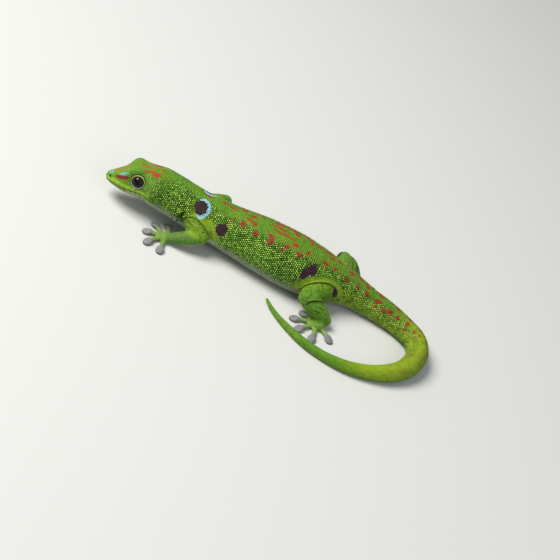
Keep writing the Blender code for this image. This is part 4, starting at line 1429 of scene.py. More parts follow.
def trunk_pitch(s, degrees):
    """The distance from scale to scale round the trunk."""
    folded = fold_degrees(degrees)
    back = ease(folded - np.interp(s, *zip(*BACK_LIMIT)), -14, 14) * ease(s, 8, 14) * (1 - ease(s, 62, 74))
    low = ease(-folded, 0, 24) * ease(s, 12, 18) * (1 - ease(s, 55, 65))
    return np.interp(s, *zip(*PITCH_ALONG)) * (1 - FINER_BACK * back - FINER_BELLY * low)


def laid_round(points, angles, pitch, shift):
    """Angles of scales spaced at the wanted pitch round one closed ring of points."""
    steps = np.linalg.norm(np.roll(points, -1, axis=0) - points, axis=1) / pitch
    walked = np.concatenate([[0.0], np.cumsum(steps)])
    count = max(4, round(walked[-1]))
    wanted = (np.arange(count) + shift) / count * walked[-1]
    return np.interp(wanted, walked, np.append(angles, angles[0] + FULL_TURN))


def trunk_roots():
    ring = np.linspace(0, FULL_TURN, TRUNK_RING_STEPS, endpoint=False)
    roots, s, number = [], 0.12, 0
    while s < SPINE_END - 0.1:
        around = trunk_pitch(np.full(len(ring), s), (np.degrees(ring) + 180) % 360 - 180)
        angles = laid_round(trunk_surface(s, ring), ring, around, 0.5 * (number % 2))
        roots.append(trunk_surface(s, angles))
        s += around.mean() * ROW_SHARE
        number += 1
    return np.concatenate(roots)


def form_roots(form):
    pitch = FORM_PITCH[form.kind]
    ring = np.linspace(0, FULL_TURN, FORM_RING_STEPS, endpoint=False)
    roots = []
    count = int((form.last - form.first) / (pitch * ROW_SHARE))
    for number, x in enumerate(np.linspace(form.first + 0.05, form.last - 0.05, count)):
        angles = laid_round(form.surface(x, ring), ring, pitch, 0.5 * (number % 2))
        roots.append(form.surface(x, angles))
    return np.concatenate(roots)


def pitch_at(body):
    """The pitch of the scales at any point of the skin."""
    own = by_form(body, [FORM_PITCH[form.kind] for form in LENGTHS])
    pitch = np.where(body["owner"] < 0, trunk_pitch(body["s"], body["degrees"]), own)
    fine = (body["zone"] > 0.5) | (fold_profile(body["at"], 0.12)[0] > 0.08)
    return np.where(fine, np.minimum(pitch, FINE_PITCH), pitch)


roots = np.concatenate([trunk_roots(), *(form_roots(form) for form in LENGTHS)])
print("roots laid in rows:", len(roots))

# %% Setting the roots on the skin
SKIN_TREE = mesh_tree(skin.data)
REACH_TO_SKIN = 0.5
PUSH = 0.30
PUSH_REACH = 1.05


def onto_skin(points):
    """The nearest places on the skin, the normals there and how far away they were."""
    places, normals, away = np.empty_like(points), np.empty_like(points), np.empty(len(points))
    for i, point in enumerate(points):
        places[i], normals[i], _, away[i] = SKIN_TREE.find_nearest(point)
    return places, normals, away


def point_tree(points):
    """What finds the points near a place."""
    tree = KDTree(len(points))
    for i, point in enumerate(points):
        tree.insert(point, i)
    tree.balance()
    return tree


def drop_doubles(points, pitch, share=0.72):
    """Keeps a point only if no kept one is nearer than a share of the pitch."""
    tree = point_tree(points)
    kept = np.ones(len(points), bool)
    for i, point in enumerate(points):
        if kept[i]:
            for _, other, _ in tree.find_range(point, pitch[i] * share):
                if other > i:
                    kept[other] = False
    return kept


def push_apart(points, pitch, rounds):
    """Lets near roots push each other away, and sets them back on the skin after each round."""
    for _ in range(rounds):
        tree = point_tree(points)
        moved = points.copy()
        for i, point in enumerate(points):
            reach = pitch[i] * PUSH_REACH
            for place, other, away in tree.find_range(point, reach):
                if other != i and away > 1e-6:
                    moved[i] += (point - np.array(place)) / away * (reach - away) * PUSH
        points = onto_skin(moved)[0]
    return points


places, _, away = onto_skin(roots)
roots = places[away < REACH_TO_SKIN]
print("roots near the skin:", len(roots))

# %% Filling bare places
JITTER = 0.13
JITTER_SEED = 21
BARE_FOLD = 0.07
BARE_SHARE = 0.80
PLATES_END_AT = 9.3
PLATE_MARGIN = 0.12
BARE_PIT = 0.9
SCALE_ROOM = 0.10


def bare_places(points):
    """Skin points farther from every root than the pitch allows, thinned to one for each new scale."""
    tree = point_tree(points)
    wanted = pitch_at(skin_body)
    away = np.array([tree.find(point)[2] for point in skin_points])
    bare = np.flatnonzero(away > wanted * BARE_SHARE)
    order = bare[np.argsort(-away[bare] / wanted[bare])]
    return skin_points[order][drop_doubles(skin_points[order], wanted[order], 0.9)]


def wanted_roots(points, normals, body):
    """False where no scale grows: in the eyes, on the lips' plates, in pits and deep folds, and on the floor."""
    keep = np.ones(len(points), bool)
    head = np.flatnonzero(body["s"] < PLATES_END_AT)
    s = body["s"][head]
    above = fold_degrees(body["degrees"][head]) > mouth_angle(s)
    band = np.where(above, lip_height(s, UPPER_LIP), lip_height(s, LOWER_LIP)) + PLATE_MARGIN
    keep[head] &= distance_to_path(points[head], MOUTH)[0] > band
    for way in (1, -1):
        height, out, _, _ = eye_places(points, way)
        keep &= (out > LID_GROOVE["radius"]) | (height < -0.5)
        for pit in (NOSTRIL, EAR):
            keep &= pit_distance(points, pit, way) > pit["radius"] * BARE_PIT
    keep &= fold_profile(points, widest=CRISP_FOLD)[0] < BARE_FOLD
    keep &= points[:, 2] + SCALE_ROOM * normals[:, 2] > FLOOR_LEVEL
    return keep


body = read_body(roots)
roots = roots[drop_doubles(roots, pitch_at(body))]
fill = bare_places(roots)
roots = np.concatenate([roots, fill])
body = read_body(roots)
roots += np.random.default_rng(JITTER_SEED).normal(0, JITTER, roots.shape) * pitch_at(body)[:, None]
roots = push_apart(roots, pitch_at(body), 2)
body = read_body(roots)
roots = roots[drop_doubles(roots, pitch_at(body), 0.6)]
roots, root_normals, _ = onto_skin(roots)
body = read_body(roots)
keep = wanted_roots(roots, root_normals, body)
roots, root_normals = roots[keep], root_normals[keep]
body = {key: values[keep] for key, values in body.items()}
print("scales:", len(roots), "of which fill:", len(fill))

# %% [markdown]
# Each scale needs to know which way is up, which way is tailward, and how long, wide and high it is. A flank
# scale is a round high bead, a scale of the back or head is low and close, and tail scales lie in rings, a
# little longer than wide with their rear edge lifted.

# %% Directions and sizes of the scales
TAIL_SCALES_AT = 56
SCALE_HEIGHT = {"low": 0.034, "domed": 0.096, "tail": 0.050, "limb": 0.042}
USUAL_PITCH = 0.34
DIGIT_LOWER = 0.45
SIZE_SEED = 11


def tailward(normals, body):
    """The way that scales lie: towards the tail on the trunk and towards the pads on limbs."""
    own = by_form(body, [form.forward for form in LENGTHS])
    way = np.where(body["owner"][:, None] < 0, -spine_frame(body["s"])[3], own)
    way -= normals * (way * normals).sum(1)[:, None]
    return way / np.maximum(np.linalg.norm(way, axis=1), 1e-6)[:, None]


def scale_sizes(body, pitch, marks):
    """Half length, half width and height of each scale, with seeded differences."""
    rng = np.random.default_rng(SIZE_SEED)
    s, folded = body["s"], fold_degrees(body["degrees"])
    on_trunk = body["owner"] < 0
    on_tail = on_trunk & (s > TAIL_SCALES_AT)
    domed = ease(s, 7.5, 11) * (1 - back_share(s, folded)) * ease(folded, -48, -24) * (1 - body["zone"])
    domed *= 1 - 0.55 * marks.max(1)
    height = np.where(on_trunk, SCALE_HEIGHT["low"] + SCALE_HEIGHT["domed"] * domed, SCALE_HEIGHT["limb"])
    height = np.where(on_tail, SCALE_HEIGHT["tail"], height) * np.clip(pitch / USUAL_PITCH, 0.5, 1.15)
    digits = [number for number, form in enumerate(LENGTHS) if form.kind == "digit"]
    height[np.isin(body["owner"], digits)] *= DIGIT_LOWER
    width = pitch * (0.525 - 0.030 * domed * on_trunk) * rng.uniform(0.80, 1.08, len(pitch))
    length = width * np.where(on_tail, 1.04, 1.0) * rng.uniform(0.93, 1.07, len(pitch))
    return np.stack([length, width, height * rng.uniform(0.80, 1.20, len(pitch))], 1)


pitch = pitch_at(body)
lie = tailward(root_normals, body)
carried = paint(roots, body)
sizes = scale_sizes(body, pitch, carried["marks"])
lifted = np.where(body["owner"] < 0, 0.06 + 0.16 * ease(body["s"], 52, 62), 0.08)[:, None]
up = unit(root_normals - lie * lifted)
print("mean pitch mm:", round(float(pitch.mean()), 3))

# %% [markdown]
# For baking, every scale also gets a small patch of its own on a flat map of the skin. The map is the body's
# own unwrapping: each form's length against its girth, laid beside one another like pieces of cut leather.

# %% The skin's flat map
PATCH = 0.003
MAP_SPLIT = 50.0
MAP_WIDTH = 84.0
MAP_GAP = 0.5
MAP_EDGE = 0.01
DIGIT_END = 0.3
TRUNK_GIRTH = {"front": 34.0, "tail": 18.5}


def flat_map():
    """A corner and a scale for each form's rectangle of length by girth, packed on shelves."""
    cells = {"front": (MAP_SPLIT, TRUNK_GIRTH["front"]), "tail": (SPINE_END - MAP_SPLIT, TRUNK_GIRTH["tail"])}
    for form in LENGTHS:
        cells[form.name] = (form.last - form.first + 2 * DIGIT_END, form.girth)
    corners, x, y, shelf = {}, 0.0, 0.0, 0.0
    for name, (length, height) in sorted(cells.items(), key=lambda cell: -cell[1][1]):
        if x + length > MAP_WIDTH:
            x, y, shelf = 0.0, y + shelf + MAP_GAP, 0.0
        corners[name] = (x, y)
        x += length + MAP_GAP
        shelf = max(shelf, height)
    return corners, cells, (1 - 2 * MAP_EDGE) / max(MAP_WIDTH, y + shelf)


MAP_CORNERS, MAP_CELLS, MAP_SCALE = flat_map()


def map_places(body):
    """Where points are on the flat map."""
    spot = np.zeros((len(body["s"]), 3))
    turn = (body["degrees"] + 180) / 360
    in_front = body["s"] < MAP_SPLIT
    for name, chosen, start in (("front", in_front, 0.0), ("tail", ~in_front, MAP_SPLIT)):
        mine = chosen & (body["owner"] < 0)
        corner = MAP_CORNERS[name]
        spot[mine, 0] = corner[0] + body["s"][mine] - start
        spot[mine, 1] = corner[1] + turn[mine] * MAP_CELLS[name][1]
    for number, form in enumerate(LENGTHS):
        mine = body["owner"] == number
        corner, cell = MAP_CORNERS[form.name], MAP_CELLS[form.name]
        spot[mine, 0] = corner[0] + np.clip(body["x"][mine] - form.first + DIGIT_END, 0, cell[0])
        spot[mine, 1] = corner[1] + (body["angle"][mine] / FULL_TURN + 0.5) * cell[1]
    spot[:, :2] = spot[:, :2] * MAP_SCALE + MAP_EDGE
    return spot


print("flat map scale:", round(MAP_SCALE, 5), "a millimetre")

# %% [markdown]
# One scale is modelled once: a low dome over a rounded outline, with its root sunk in the skin. It stays at a
# dozen or two of faces, because tens of thousands are worn. Its points carry how high on the dome they are,
# for the colour, with its painted highlight on the crown and painted shade at the foot, and their place in
# the scale's own patch of the map. A pattern is given by its rings, from the root up: the radius, the
# height, and the height that the colour counts.

# %% One scale
BEAD_RINGS = ((1.0, -0.9, 0.0), (0.93, 0.30, 0.40), (0.60, 0.82, 0.78))
GRANULE_RINGS = ((1.0, -0.7, 0.0), (0.84, 0.62, 0.62))
PLATE_RINGS = ((1.0, -0.8, 0.0), (0.97, 0.30, 0.50), (0.86, 0.85, 0.90))


def make_dome(name, sides, rings, squareness=1.0):
    turn = (np.arange(sides) + 0.5) * FULL_TURN / sides
    outline = np.stack([np.cos(turn), np.sin(turn)], 1)
    outline = np.sign(outline) * np.abs(outline) ** squareness
    rows = np.array([np.column_stack([outline * radius, np.full(sides, height)]) for radius, height, _ in rings])
    number, along, quads = numbered(rows)
    top = number.size
    faces = [number[0][::-1], *quads, *((a, b, top) for a, b in zip(number[-1], along[-1]))]
    points = np.array([*rows.reshape(-1, 3), (0, 0, 1)])
    mesh = mesh_of(name, points, faces)
    domes = [*np.repeat([dome for _, _, dome in rings], sides), 1.0]
    for key, values in (("dome", domes), ("rise", points[:, 2])):
        mesh.attributes.new(key, "FLOAT", "POINT").data.foreach_set("value", np.asarray(values, np.float32))
    store(mesh, "patch", points * (0.5, 0.5, 0.0))
    made = link_new(name, mesh)
    made.hide_render = made.hide_viewport = True
    return made


bead = make_dome("bead_pattern", 7, BEAD_RINGS)
granule = make_dome("granule_pattern", 6, GRANULE_RINGS)
plate = make_dome("plate_pattern", 20, PLATE_RINGS, 0.45)
print("faces of a bead, a granule and a plate:", [len(p.data.polygons) for p in (bead, granule, plate)])

# %% [markdown]
# Geometry Nodes set a scale on every root. The roots are a mesh of loose points that carry the normal, the
# lie, the size and the colours. The tree stands the pattern on each, turns it to the normal and then to the
# lie, stretches it to its size, varies that with a seed, and makes the copies real, so that the result is a
# plain mesh with the map called OFBake.

# %% Building node trees
class Graph:
    """A node tree in the making. Each input takes a socket, which is linked, or a plain value, which is set."""

    def __init__(self, tree):
        self.tree = tree

    def fill(self, node, inputs):
        for name, value in inputs.items():
            if isinstance(value, bpy.types.NodeSocket):
                self.tree.links.new(value, node.inputs[name])
            else:
                node.inputs[name].default_value = value

    def add(self, kind, inputs=None, **settings):
        node = self.tree.nodes.new(kind)
        for name, value in settings.items():
            setattr(node, name, value)
        self.fill(node, inputs or {})
        return node

    def math(self, operation, *values, clamp=False):
        return self.add("ShaderNodeMath", dict(enumerate(values)), operation=operation, use_clamp=clamp).outputs[0]

    def times(self, *values, clamp=False):
        return self.math("MULTIPLY", *values, clamp=clamp)

    def rest(self, value, clamp=False):
        """What is left of 1."""
        return self.math("SUBTRACT", 1.0, value, clamp=clamp)

    def mix(self, share, first, second, blend="MIX"):
        inputs = {0: share, 6: first, 7: second}
        return self.add("ShaderNodeMix", inputs, data_type="RGBA", blend_type=blend).outputs[2]

    def step(self, value, low, high, new_low=0.0, new_high=1.0):
        """A smooth step between two values, brought to a new range."""
        bounds = {"From Min": low, "From Max": high, "To Min": new_low, "To Max": new_high}
        node = self.add("ShaderNodeMapRange", {"Value": value, **bounds}, interpolation_type="SMOOTHSTEP")
        return node.outputs["Result"]

    def noise(self, vector, scale, detail=2.0):
        inputs = {"Vector": vector, "Scale": scale, "Detail": detail}
        return self.add("ShaderNodeTexNoise", inputs).outputs["Fac"]

    def parts(self, vector):
        return self.add("ShaderNodeSeparateXYZ", {0: vector}).outputs

    def attribute(self, name, output="Vector"):
        return self.add("ShaderNodeAttribute", attribute_name=name).outputs[output]


def new_tree(name, kind, inputs, outputs):
    """A node tree with named inputs, some with a default, and named outputs."""
    tree = bpy.data.node_groups.new(name, kind)
    for direction, sockets in (("INPUT", inputs), ("OUTPUT", outputs)):
        for socket_name, socket_kind, *default in sockets:
            kind_name = "NodeSocket" + socket_kind
            socket = tree.interface.new_socket(name=socket_name, in_out=direction, socket_type=kind_name)
            if default:
                socket.default_value = default[0]
    return Graph(tree), tree.nodes.new("NodeGroupInput").outputs, tree.nodes.new("NodeGroupOutput")


# %% The tree that sets scales
SCALE_INPUTS = (
    ("Roots", "Geometry"),
    ("Pattern", "Object"),
    ("Size Variation", "Float", 0.06),
    ("Map Patch", "Float", PATCH),
    ("Seed", "Int", 3),
    ("Finish", "Material"),
)


def scale_tree():
    graph, given, made = new_tree("scales on roots", "GeometryNodeTree", SCALE_INPUTS, [("Scales", "Geometry")])
    graph.tree.is_modifier = True

    def carried_by_roots(name):
        node = graph.add("GeometryNodeInputNamedAttribute", {"Name": name}, data_type="FLOAT_VECTOR")
        return node.outputs["Attribute"]

    def turned(axis, pivot, **inputs):
        node = graph.add("FunctionNodeAlignRotationToVector", inputs, axis=axis, pivot_axis=pivot)
        return node.outputs["Rotation"]

    def scaled(name, amount):
        inputs = {0: carried_by_roots(name), "Scale": amount}
        return graph.add("ShaderNodeVectorMath", inputs, operation="SCALE").outputs[0]

    pattern = graph.add("GeometryNodeObjectInfo", {"Object": given["Pattern"]})
    standing = turned("Z", "AUTO", Vector=carried_by_roots("up"))
    lying = turned("X", "Z", Rotation=standing, Vector=carried_by_roots("lie"))
    least = graph.rest(given["Size Variation"])
    chance = graph.add("FunctionNodeRandomValue", {2: least, 3: 1.0, "Seed": given["Seed"]}, data_type="FLOAT")
    setting = {"Points": given["Roots"], "Instance": pattern.outputs["Geometry"], "Rotation": lying}
    setting["Scale"] = scaled("size", chance.outputs[1])
    copies = graph.add("GeometryNodeInstanceOnPoints", setting).outputs["Instances"]
    real = graph.add("GeometryNodeRealizeInstances", {"Geometry": copies}).outputs["Geometry"]
    patch = {0: carried_by_roots("root_map"), 1: scaled("patch", given["Map Patch"])}
    place = graph.add("ShaderNodeVectorMath", patch, operation="ADD").outputs[0]
    kept = {"Geometry": real, "Name": "OFBake", "Value": place}
    mapped = graph.add("GeometryNodeStoreNamedAttribute", kept, data_type="FLOAT2", domain="CORNER")
    smooth = graph.add("GeometryNodeSetShadeSmooth", {"Geometry": mapped.outputs["Geometry"]})
    finish = {"Geometry": smooth.outputs["Geometry"], "Material": given["Finish"]}
    graph.fill(made, {0: graph.add("GeometryNodeSetMaterial", finish).outputs["Geometry"]})
    return graph.tree


SCALE_TREE = scale_tree()
print("tree nodes:", len(SCALE_TREE.nodes))

# %% [markdown]
# The colours come from one group of shader nodes that skin, scales and lip plates share. It starts from the
# green of the back, lets flank scales turn lime towards their crown, where a painted highlight brightens the
# lime still more, lays the broad tints over that and then the marks, and last darkens the grooves between
# scales with painted shade. Fine noise keeps any two scales from matching.

# %% Colour group
BASES = {
    "Back Green": (0.105, 0.255, 0.008, 1),
    "Leaf Green": (0.168, 0.338, 0.012, 1),
    "Flank Green": (0.060, 0.228, 0.005, 1),
    # black for painted shade in pits, folds, the mouth line and round the eyes
    "Pit Black": (0.006, 0.005, 0.004, 1),
}
LAYERS = {
    "Sea Green": (0.80, (0.100, 0.225, 0.035, 1)),
    "Olive": (0.80, (0.35, 0.48, 0.010, 1)),
    "Gold": (0.85, (0.26, 0.41, 0.018, 1)),
    # the flank scales' own lime, laid on their crowns only as a painted highlight
    "Bead Lime": (1.0, (0.80, 0.96, 0.17, 1)),
    "Haze": (1.0, (0.29, 0.150, 0.050, 1)),
    "Belly": (0.85, (0.36, 0.40, 0.28, 1)),
    "Lip Lime": (0.85, (0.26, 0.44, 0.012, 1)),
    "Lid Yellow": (1.0, (0.52, 0.60, 0.12, 1)),
    "Slate": (1.0, (0.235, 0.240, 0.238, 1)),
    # painted shade on the pads' lower rims, partly the colour of their undersides
    "Pad Edge": (1.0, (0.11, 0.060, 0.070, 1)),
    "Brick Red": (0.92, (0.42, 0.040, 0.010, 1)),
    "Sky": (1.0, (0.32, 0.62, 0.70, 1)),
    "Plum": (1.0, (0.046, 0.018, 0.026, 1)),
}
PAINTED = ("Marks", "Tints", "Hues", "Forms", "Grain")
NOISE_SCALES = {"patches": 420.0, "grooves": 1100.0, "speckle": 2600.0, "grain": 5200.0}
STEPS = {
    "patches": (0.38, 0.62),
    "speckle": (0.3, 0.7),
    "crown": (0.64, 0.98),
    "lime beads": (0.22, 0.74, 0.10, 1.0),
    "hazy patches": (0.0, 1.0, 0.15, 0.9),
    "hazy scales": (0.30, 0.72, 0.50, 1.60),
    "groove's foot": (0.0, 0.6),
    "uneven grooves": (0.35, 0.65, 0.50, 1.10),
    "speckle's shade": (0.0, 1.0, 0.86, 1.06),
    "dull scales": (0.0, 0.30, 0.42, 0.0),
}


def colour_group():
    """Lays the layers' colours over one another in their order, and paints shade into the grooves between scales.
    """
    inputs = [(name, "Vector", (0, 0, 0)) for name in ("Place", *PAINTED)] + [("Dome", "Float", 0.0)]
    inputs += [(name, "Color", value) for name, value in BASES.items()]
    inputs += [(name, "Color", value) for name, (_, value) in LAYERS.items()]
    outputs = [("Colour", "Color"), ("Groove", "Float")]
    graph, given, made = new_tree("gecko colours", "ShaderNodeTree", inputs, outputs)
    times, rest = graph.times, graph.rest
    red, plum, sky = graph.parts(given["Marks"])
    pale, warm, cool = graph.parts(given["Tints"])
    # black is painted shade; edge is painted shade on the pads' rims.
    lime, pad, black = graph.parts(given["Forms"])
    haze, gold, edge = graph.parts(given["Hues"])
    contrast, chance, ring = graph.parts(given["Grain"])

    def stepped(value, name):
        return graph.step(value, *STEPS[name])

    def noisy(name, detail=2.0):
        return graph.noise(given["Place"], NOISE_SCALES[name], detail)

    patchy = stepped(noisy("patches"), "patches")
    tone = graph.math("MULTIPLY_ADD", chance, 0.6, times(patchy, 0.4))
    colour = graph.mix(tone, given["Back Green"], given["Leaf Green"])
    colour = graph.mix(contrast, colour, given["Flank Green"])
    # Painted highlight: the flank scales' lime is laid on their crowns, brightest at the top of each dome.
    beady = times(times(stepped(given["Dome"], "crown"), contrast), stepped(chance, "lime beads"))
    hazy = times(times(haze, stepped(patchy, "hazy patches")), stepped(chance, "hazy scales"), clamp=True)
    shares = (cool, warm, gold, beady, hazy, pale, lime, ring, pad, edge, red, sky, plum)
    for share, (name, (amount, _)) in zip(shares, LAYERS.items()):
        colour = graph.mix(times(share, amount), colour, given[name])
    spots = times(graph.math("MAXIMUM", plum, sky), 0.7)
    covered = graph.math("MAXIMUM", graph.math("MAXIMUM", lime, pad), spots)
    # Painted shade: the skin between scales and the foot of each scale are darkened, most where contrast is high.
    depth = times(graph.math("MULTIPLY_ADD", contrast, 0.90, 0.06), stepped(noisy("grooves"), "uneven grooves"))
    groove = times(times(depth, rest(covered, clamp=True)), rest(stepped(given["Dome"], "groove's foot")))
    speckle = stepped(stepped(noisy("speckle", 1.0), "speckle"), "speckle's shade")
    dull = times(stepped(chance, "dull scales"), contrast)
    # The shade is the painted groove shade times the random speckle and dull scales.
    shade = times(times(rest(groove, clamp=True), speckle), rest(dull))
    grey = graph.add("ShaderNodeCombineColor", {0: shade, 1: shade, 2: shade}).outputs[0]
    colour = graph.mix(1.0, colour, grey, "MULTIPLY")
    # Painted shade: black in pits, folds, the mouth line and round the eyes.
    graph.fill(made, {"Colour": graph.mix(black, colour, given["Pit Black"]), "Groove": groove})
    return graph.tree


def grain_group():
    """Height of the fine skin texture: small rounded cells with a fainter noise over them."""
    inputs = [("Place", "Vector", (0, 0, 0)), ("Cells", "Float", 3000.0)]
    graph, given, made = new_tree("fine grain", "ShaderNodeTree", inputs, [("Height", "Float")])
    cells = graph.add("ShaderNodeTexVoronoi", {"Vector": given["Place"], "Scale": given["Cells"]})
    dome = graph.rest(graph.math("POWER", cells.outputs["Distance"], 2.0))
    noise = graph.noise(given["Place"], NOISE_SCALES["grain"], 3.0)
    graph.fill(made, {"Height": graph.math("MULTIPLY_ADD", noise, 0.35, dome)})
    return graph.tree


COLOURS = colour_group()
FINE_GRAIN = grain_group()
print("groups:", COLOURS.name, len(COLOURS.nodes), FINE_GRAIN.name, len(FINE_GRAIN.nodes))

# %% Materials of skin, scales and lips
GROOVE_ROUGHER = 0.35
SKIN_SHINE = 0.22
COAT_ROUGHNESS = 0.25
RELIEF = 0.00004


def gecko_material(name, roughness, coat, cells, bump):
    """A finish that reads the painted attributes, with its own gloss and grain."""
    made, shader = new_material(name)
    graph = Graph(made.node_tree)
    place = graph.add("ShaderNodeTexCoord").outputs["Object"]
    painted = {socket: graph.attribute(socket.lower()) for socket in PAINTED}
    painted |= {"Place": place, "Dome": graph.attribute("dome", "Fac")}
    colours = graph.add("ShaderNodeGroup", painted, node_tree=COLOURS)
    rough = graph.math("MULTIPLY_ADD", colours.outputs["Groove"], GROOVE_ROUGHER, roughness, clamp=True)
    grain = graph.add("ShaderNodeGroup", {"Place": place, "Cells": cells}, node_tree=FINE_GRAIN)
    relief = {"Strength": bump, "Distance": RELIEF, "Height": grain.outputs["Height"]}
    finish = {"Base Color": colours.outputs["Colour"], "Roughness": rough}
    finish |= {"Specular IOR Level": SKIN_SHINE, "Coat Weight": coat, "Coat Roughness": COAT_ROUGHNESS}
    graph.fill(shader, finish | {"Normal": graph.add("ShaderNodeBump", relief).outputs["Normal"]})
    return made


SKIN_FINISH = gecko_material("gecko_skin", 0.50, 0.0, 4200.0, 0.5)
SCALE_FINISH = gecko_material("gecko_scales", 0.40, 0.03, 9000.0, 0.15)
LIP_FINISH = gecko_material("gecko_lips", 0.32, 0.15, 7000.0, 0.10)
print("materials:", SKIN_FINISH.name, SCALE_FINISH.name, LIP_FINISH.name)

# %% [markdown]
# The skin is now finished: smooth shading, its material, and metres. It stands for all the flesh nodes of the
# frame, so that none of their parting lines shows.

# %% The skin piece
def to_metres(obj):
    obj.data.transform(Matrix.Scale(MM, 4))
    obj.data.update()


def finish_skin():
    skin.data.shade_smooth()
    skin.data.materials.clear()
    skin.data.materials.append(SKIN_FINISH)
    to_metres(skin)
    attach(skin, "root")
    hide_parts(*FLESH)


finish_skin()
print("skin triangles:", count_triangles(skin))

# %% [markdown]
# The coat is grown region by region, so that each piece stays below two hundred thousand triangles.
# A region is a stretch of the spine or one limb, and its name says where it lies.

# %% Growing the coat
TRUNK_REGIONS = {
    "head": (0.0, 9.0),
    "neck": (9.0, 19.5),
    "chest": (19.5, 29.0),
    "waist": (29.0, 39.0),
    "hips": (39.0, 51.0),
    "tail_root": (51.0, 66.0),
    "tail_bend": (66.0, 84.0),
    "tail_end": (84.0, 200.0),
}
BEADED = ("neck", "chest", "waist", "hips")


def set_inputs(modifier, tree, values):
    for item in tree.interface.items_tree:
        if item.in_out == "INPUT" and item.name in values:
            modifier[item.identifier] = values[item.name]


def wrap(mesh, thickness):
    """Bends what lies on the skin to follow it. The pattern's own height says how far each point stands off."""
    places, normals, _ = onto_skin(read_points(mesh))
    write_points(mesh, places + normals * (read_array(mesh.attributes["rise"].data, "value", 1) * thickness))


def grow(name, pattern, places, carried, finish, seed, thickness=None):
    """Scales on the given roots, as one plain mesh in metres."""
    mesh = mesh_of(name, places, [])
    for key, values in carried.items():
        store(mesh, key, values)
    piece = link_new(name, mesh)
    growing = piece.modifiers.new("scales", "NODES")
    growing.node_group = SCALE_TREE
    set_inputs(growing, SCALE_TREE, {"Pattern": pattern, "Seed": seed, "Finish": finish})
    settled(piece)
    if thickness:
        wrap(piece.data, thickness)
    for key in ("up", "lie", "size", "root_map", "patch", "rise"):
        old = piece.data.attributes.get(key)
        if old is not None:
            piece.data.attributes.remove(old)
    points = read_points(piece.data)
    points[:, 2] = np.maximum(points[:, 2], 0.0)
    write_points(piece.data, points)
    to_metres(piece)
    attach(piece, "root")
    return piece


def chance_of(count, seed):
    return np.random.default_rng(seed).uniform(0, 1, count)


def coat_regions():
    chosen = {}
    for name, (start, end) in TRUNK_REGIONS.items():
        chosen[name] = (body["owner"] < 0) & (body["s"] >= start) & (body["s"] < end)
    for limb in LIMBS:
        numbers = [i for i, form in enumerate(LENGTHS) if form.limb == limb]
        digits = [i for i in numbers if LENGTHS[i].kind in ("digit", "palm")]
        rest = [i for i in numbers if i not in digits]
        chosen[limb] = np.isin(body["owner"], rest)
        chosen[limb.replace("arm", "hand").replace("leg", "foot")] = np.isin(body["owner"], digits)
    return chosen


carried["grain"][:, 1] = 0.65 * chance_of(len(roots), 5) + 0.35 * blotches(roots, 0.45)
carried |= {"up": up, "lie": lie, "size": sizes, "root_map": map_places(body)}
coat = {}
for seed, (name, chosen) in enumerate(coat_regions().items()):
    part_of = {key: values[chosen] for key, values in carried.items()}
    pattern = bead if name in BEADED else granule
    coat[name] = grow(f"scales_{name}", pattern, roots[chosen], part_of, SCALE_FINISH, seed)
print("coat triangles:", {name: count_triangles(piece) for name, piece in coat.items()})

# %% [markdown]
# The lips wear one row of larger plates above the mouth and one below, from the muzzle to its corners. They
# are grown by the same tree from a flat, nearly square pattern, and then bent to follow the lips.

# %% Lip plates
PLATE_SHARES = (0.55, 0.80, 0.95, 1.05, 1.10, 1.10, 1.05, 1.00, 0.95, 0.85, 0.70)
PLATE_THICKNESS = 0.05
LIP_GAP = 0.10
PLATE_JOINT = 0.96
PLATE_LEAN = 0.3
NEARBY = 0.05


def mouth_at(place, walked):
    return np.array([np.interp(place, walked, MOUTH[:, axis]) for axis in range(3)])


def lip_plates(full, upward):
    """Roots, lies, normals and sizes of one lip's plates. Upward is 1 for the upper lip and -1 for the lower."""
    walked = along_chords(MOUTH)
    middle = walked[-1] / 2
    edges = np.concatenate([[0.0], np.cumsum(PLATE_SHARES)]) / sum(PLATE_SHARES) * middle
    centres, lengths = (edges[1:] + edges[:-1]) / 2, np.diff(edges)
    found = []
    for way in (1, -1):
        for centre, length in zip(centres, lengths):
            at = [middle + way * (centre + step) for step in (-NEARBY, 0.0, NEARBY)]
            before, here, after = (mouth_at(place, walked) for place in at)
            lie = unit(after - before)
            s = read_trunk(here[None])[0]
            height = float(lip_height(s, full)[0])
            head_up = spine_frame(s)[2][0]
            rise = head_up - lie * (head_up @ lie)
            outward = np.cross(lie, rise)
            outward *= np.sign(outward @ (here - spine_point(s)[0]))
            slope = unit(unit(rise) * upward - PLATE_LEAN * unit(outward))
            place, normal, _ = onto_skin((here + slope * (LIP_GAP + height / 2))[None])
            found.append((place[0], lie, normal[0], (length / 2 * PLATE_JOINT, height / 2, PLATE_THICKNESS)))
    return [np.array(column) for column in zip(*found)]


for name, full, upward in (("upper", UPPER_LIP, 1), ("lower", LOWER_LIP, -1)):
    spots, lies, normals, plate_sizes = lip_plates(full, upward)
    spot_body = read_body(spots)
    part_of = paint(spots, spot_body)
    part_of["grain"][:, 1] = chance_of(len(spots), 8)
    # No painted shade on the plates.
    part_of["forms"][:, 2] = 0.0
    part_of |= {"up": normals, "lie": lies, "size": plate_sizes, "root_map": map_places(spot_body)}
    lip = grow(f"lip_plates_{name}", plate, spots, part_of, LIP_FINISH, 40, PLATE_THICKNESS)
    print(lip.name, "plates:", len(spots), "triangles:", count_triangles(lip))

# %% [markdown]
# A gecko has no lids to close. Its eye is a glossy ball with a round pupil and a dark plum iris, finely
# streaked, under one clear skin. The ball is turned from a profile with a slightly bulging front, and its
# points carry their angle from the pupil, so that the pattern is drawn by nodes and not painted.

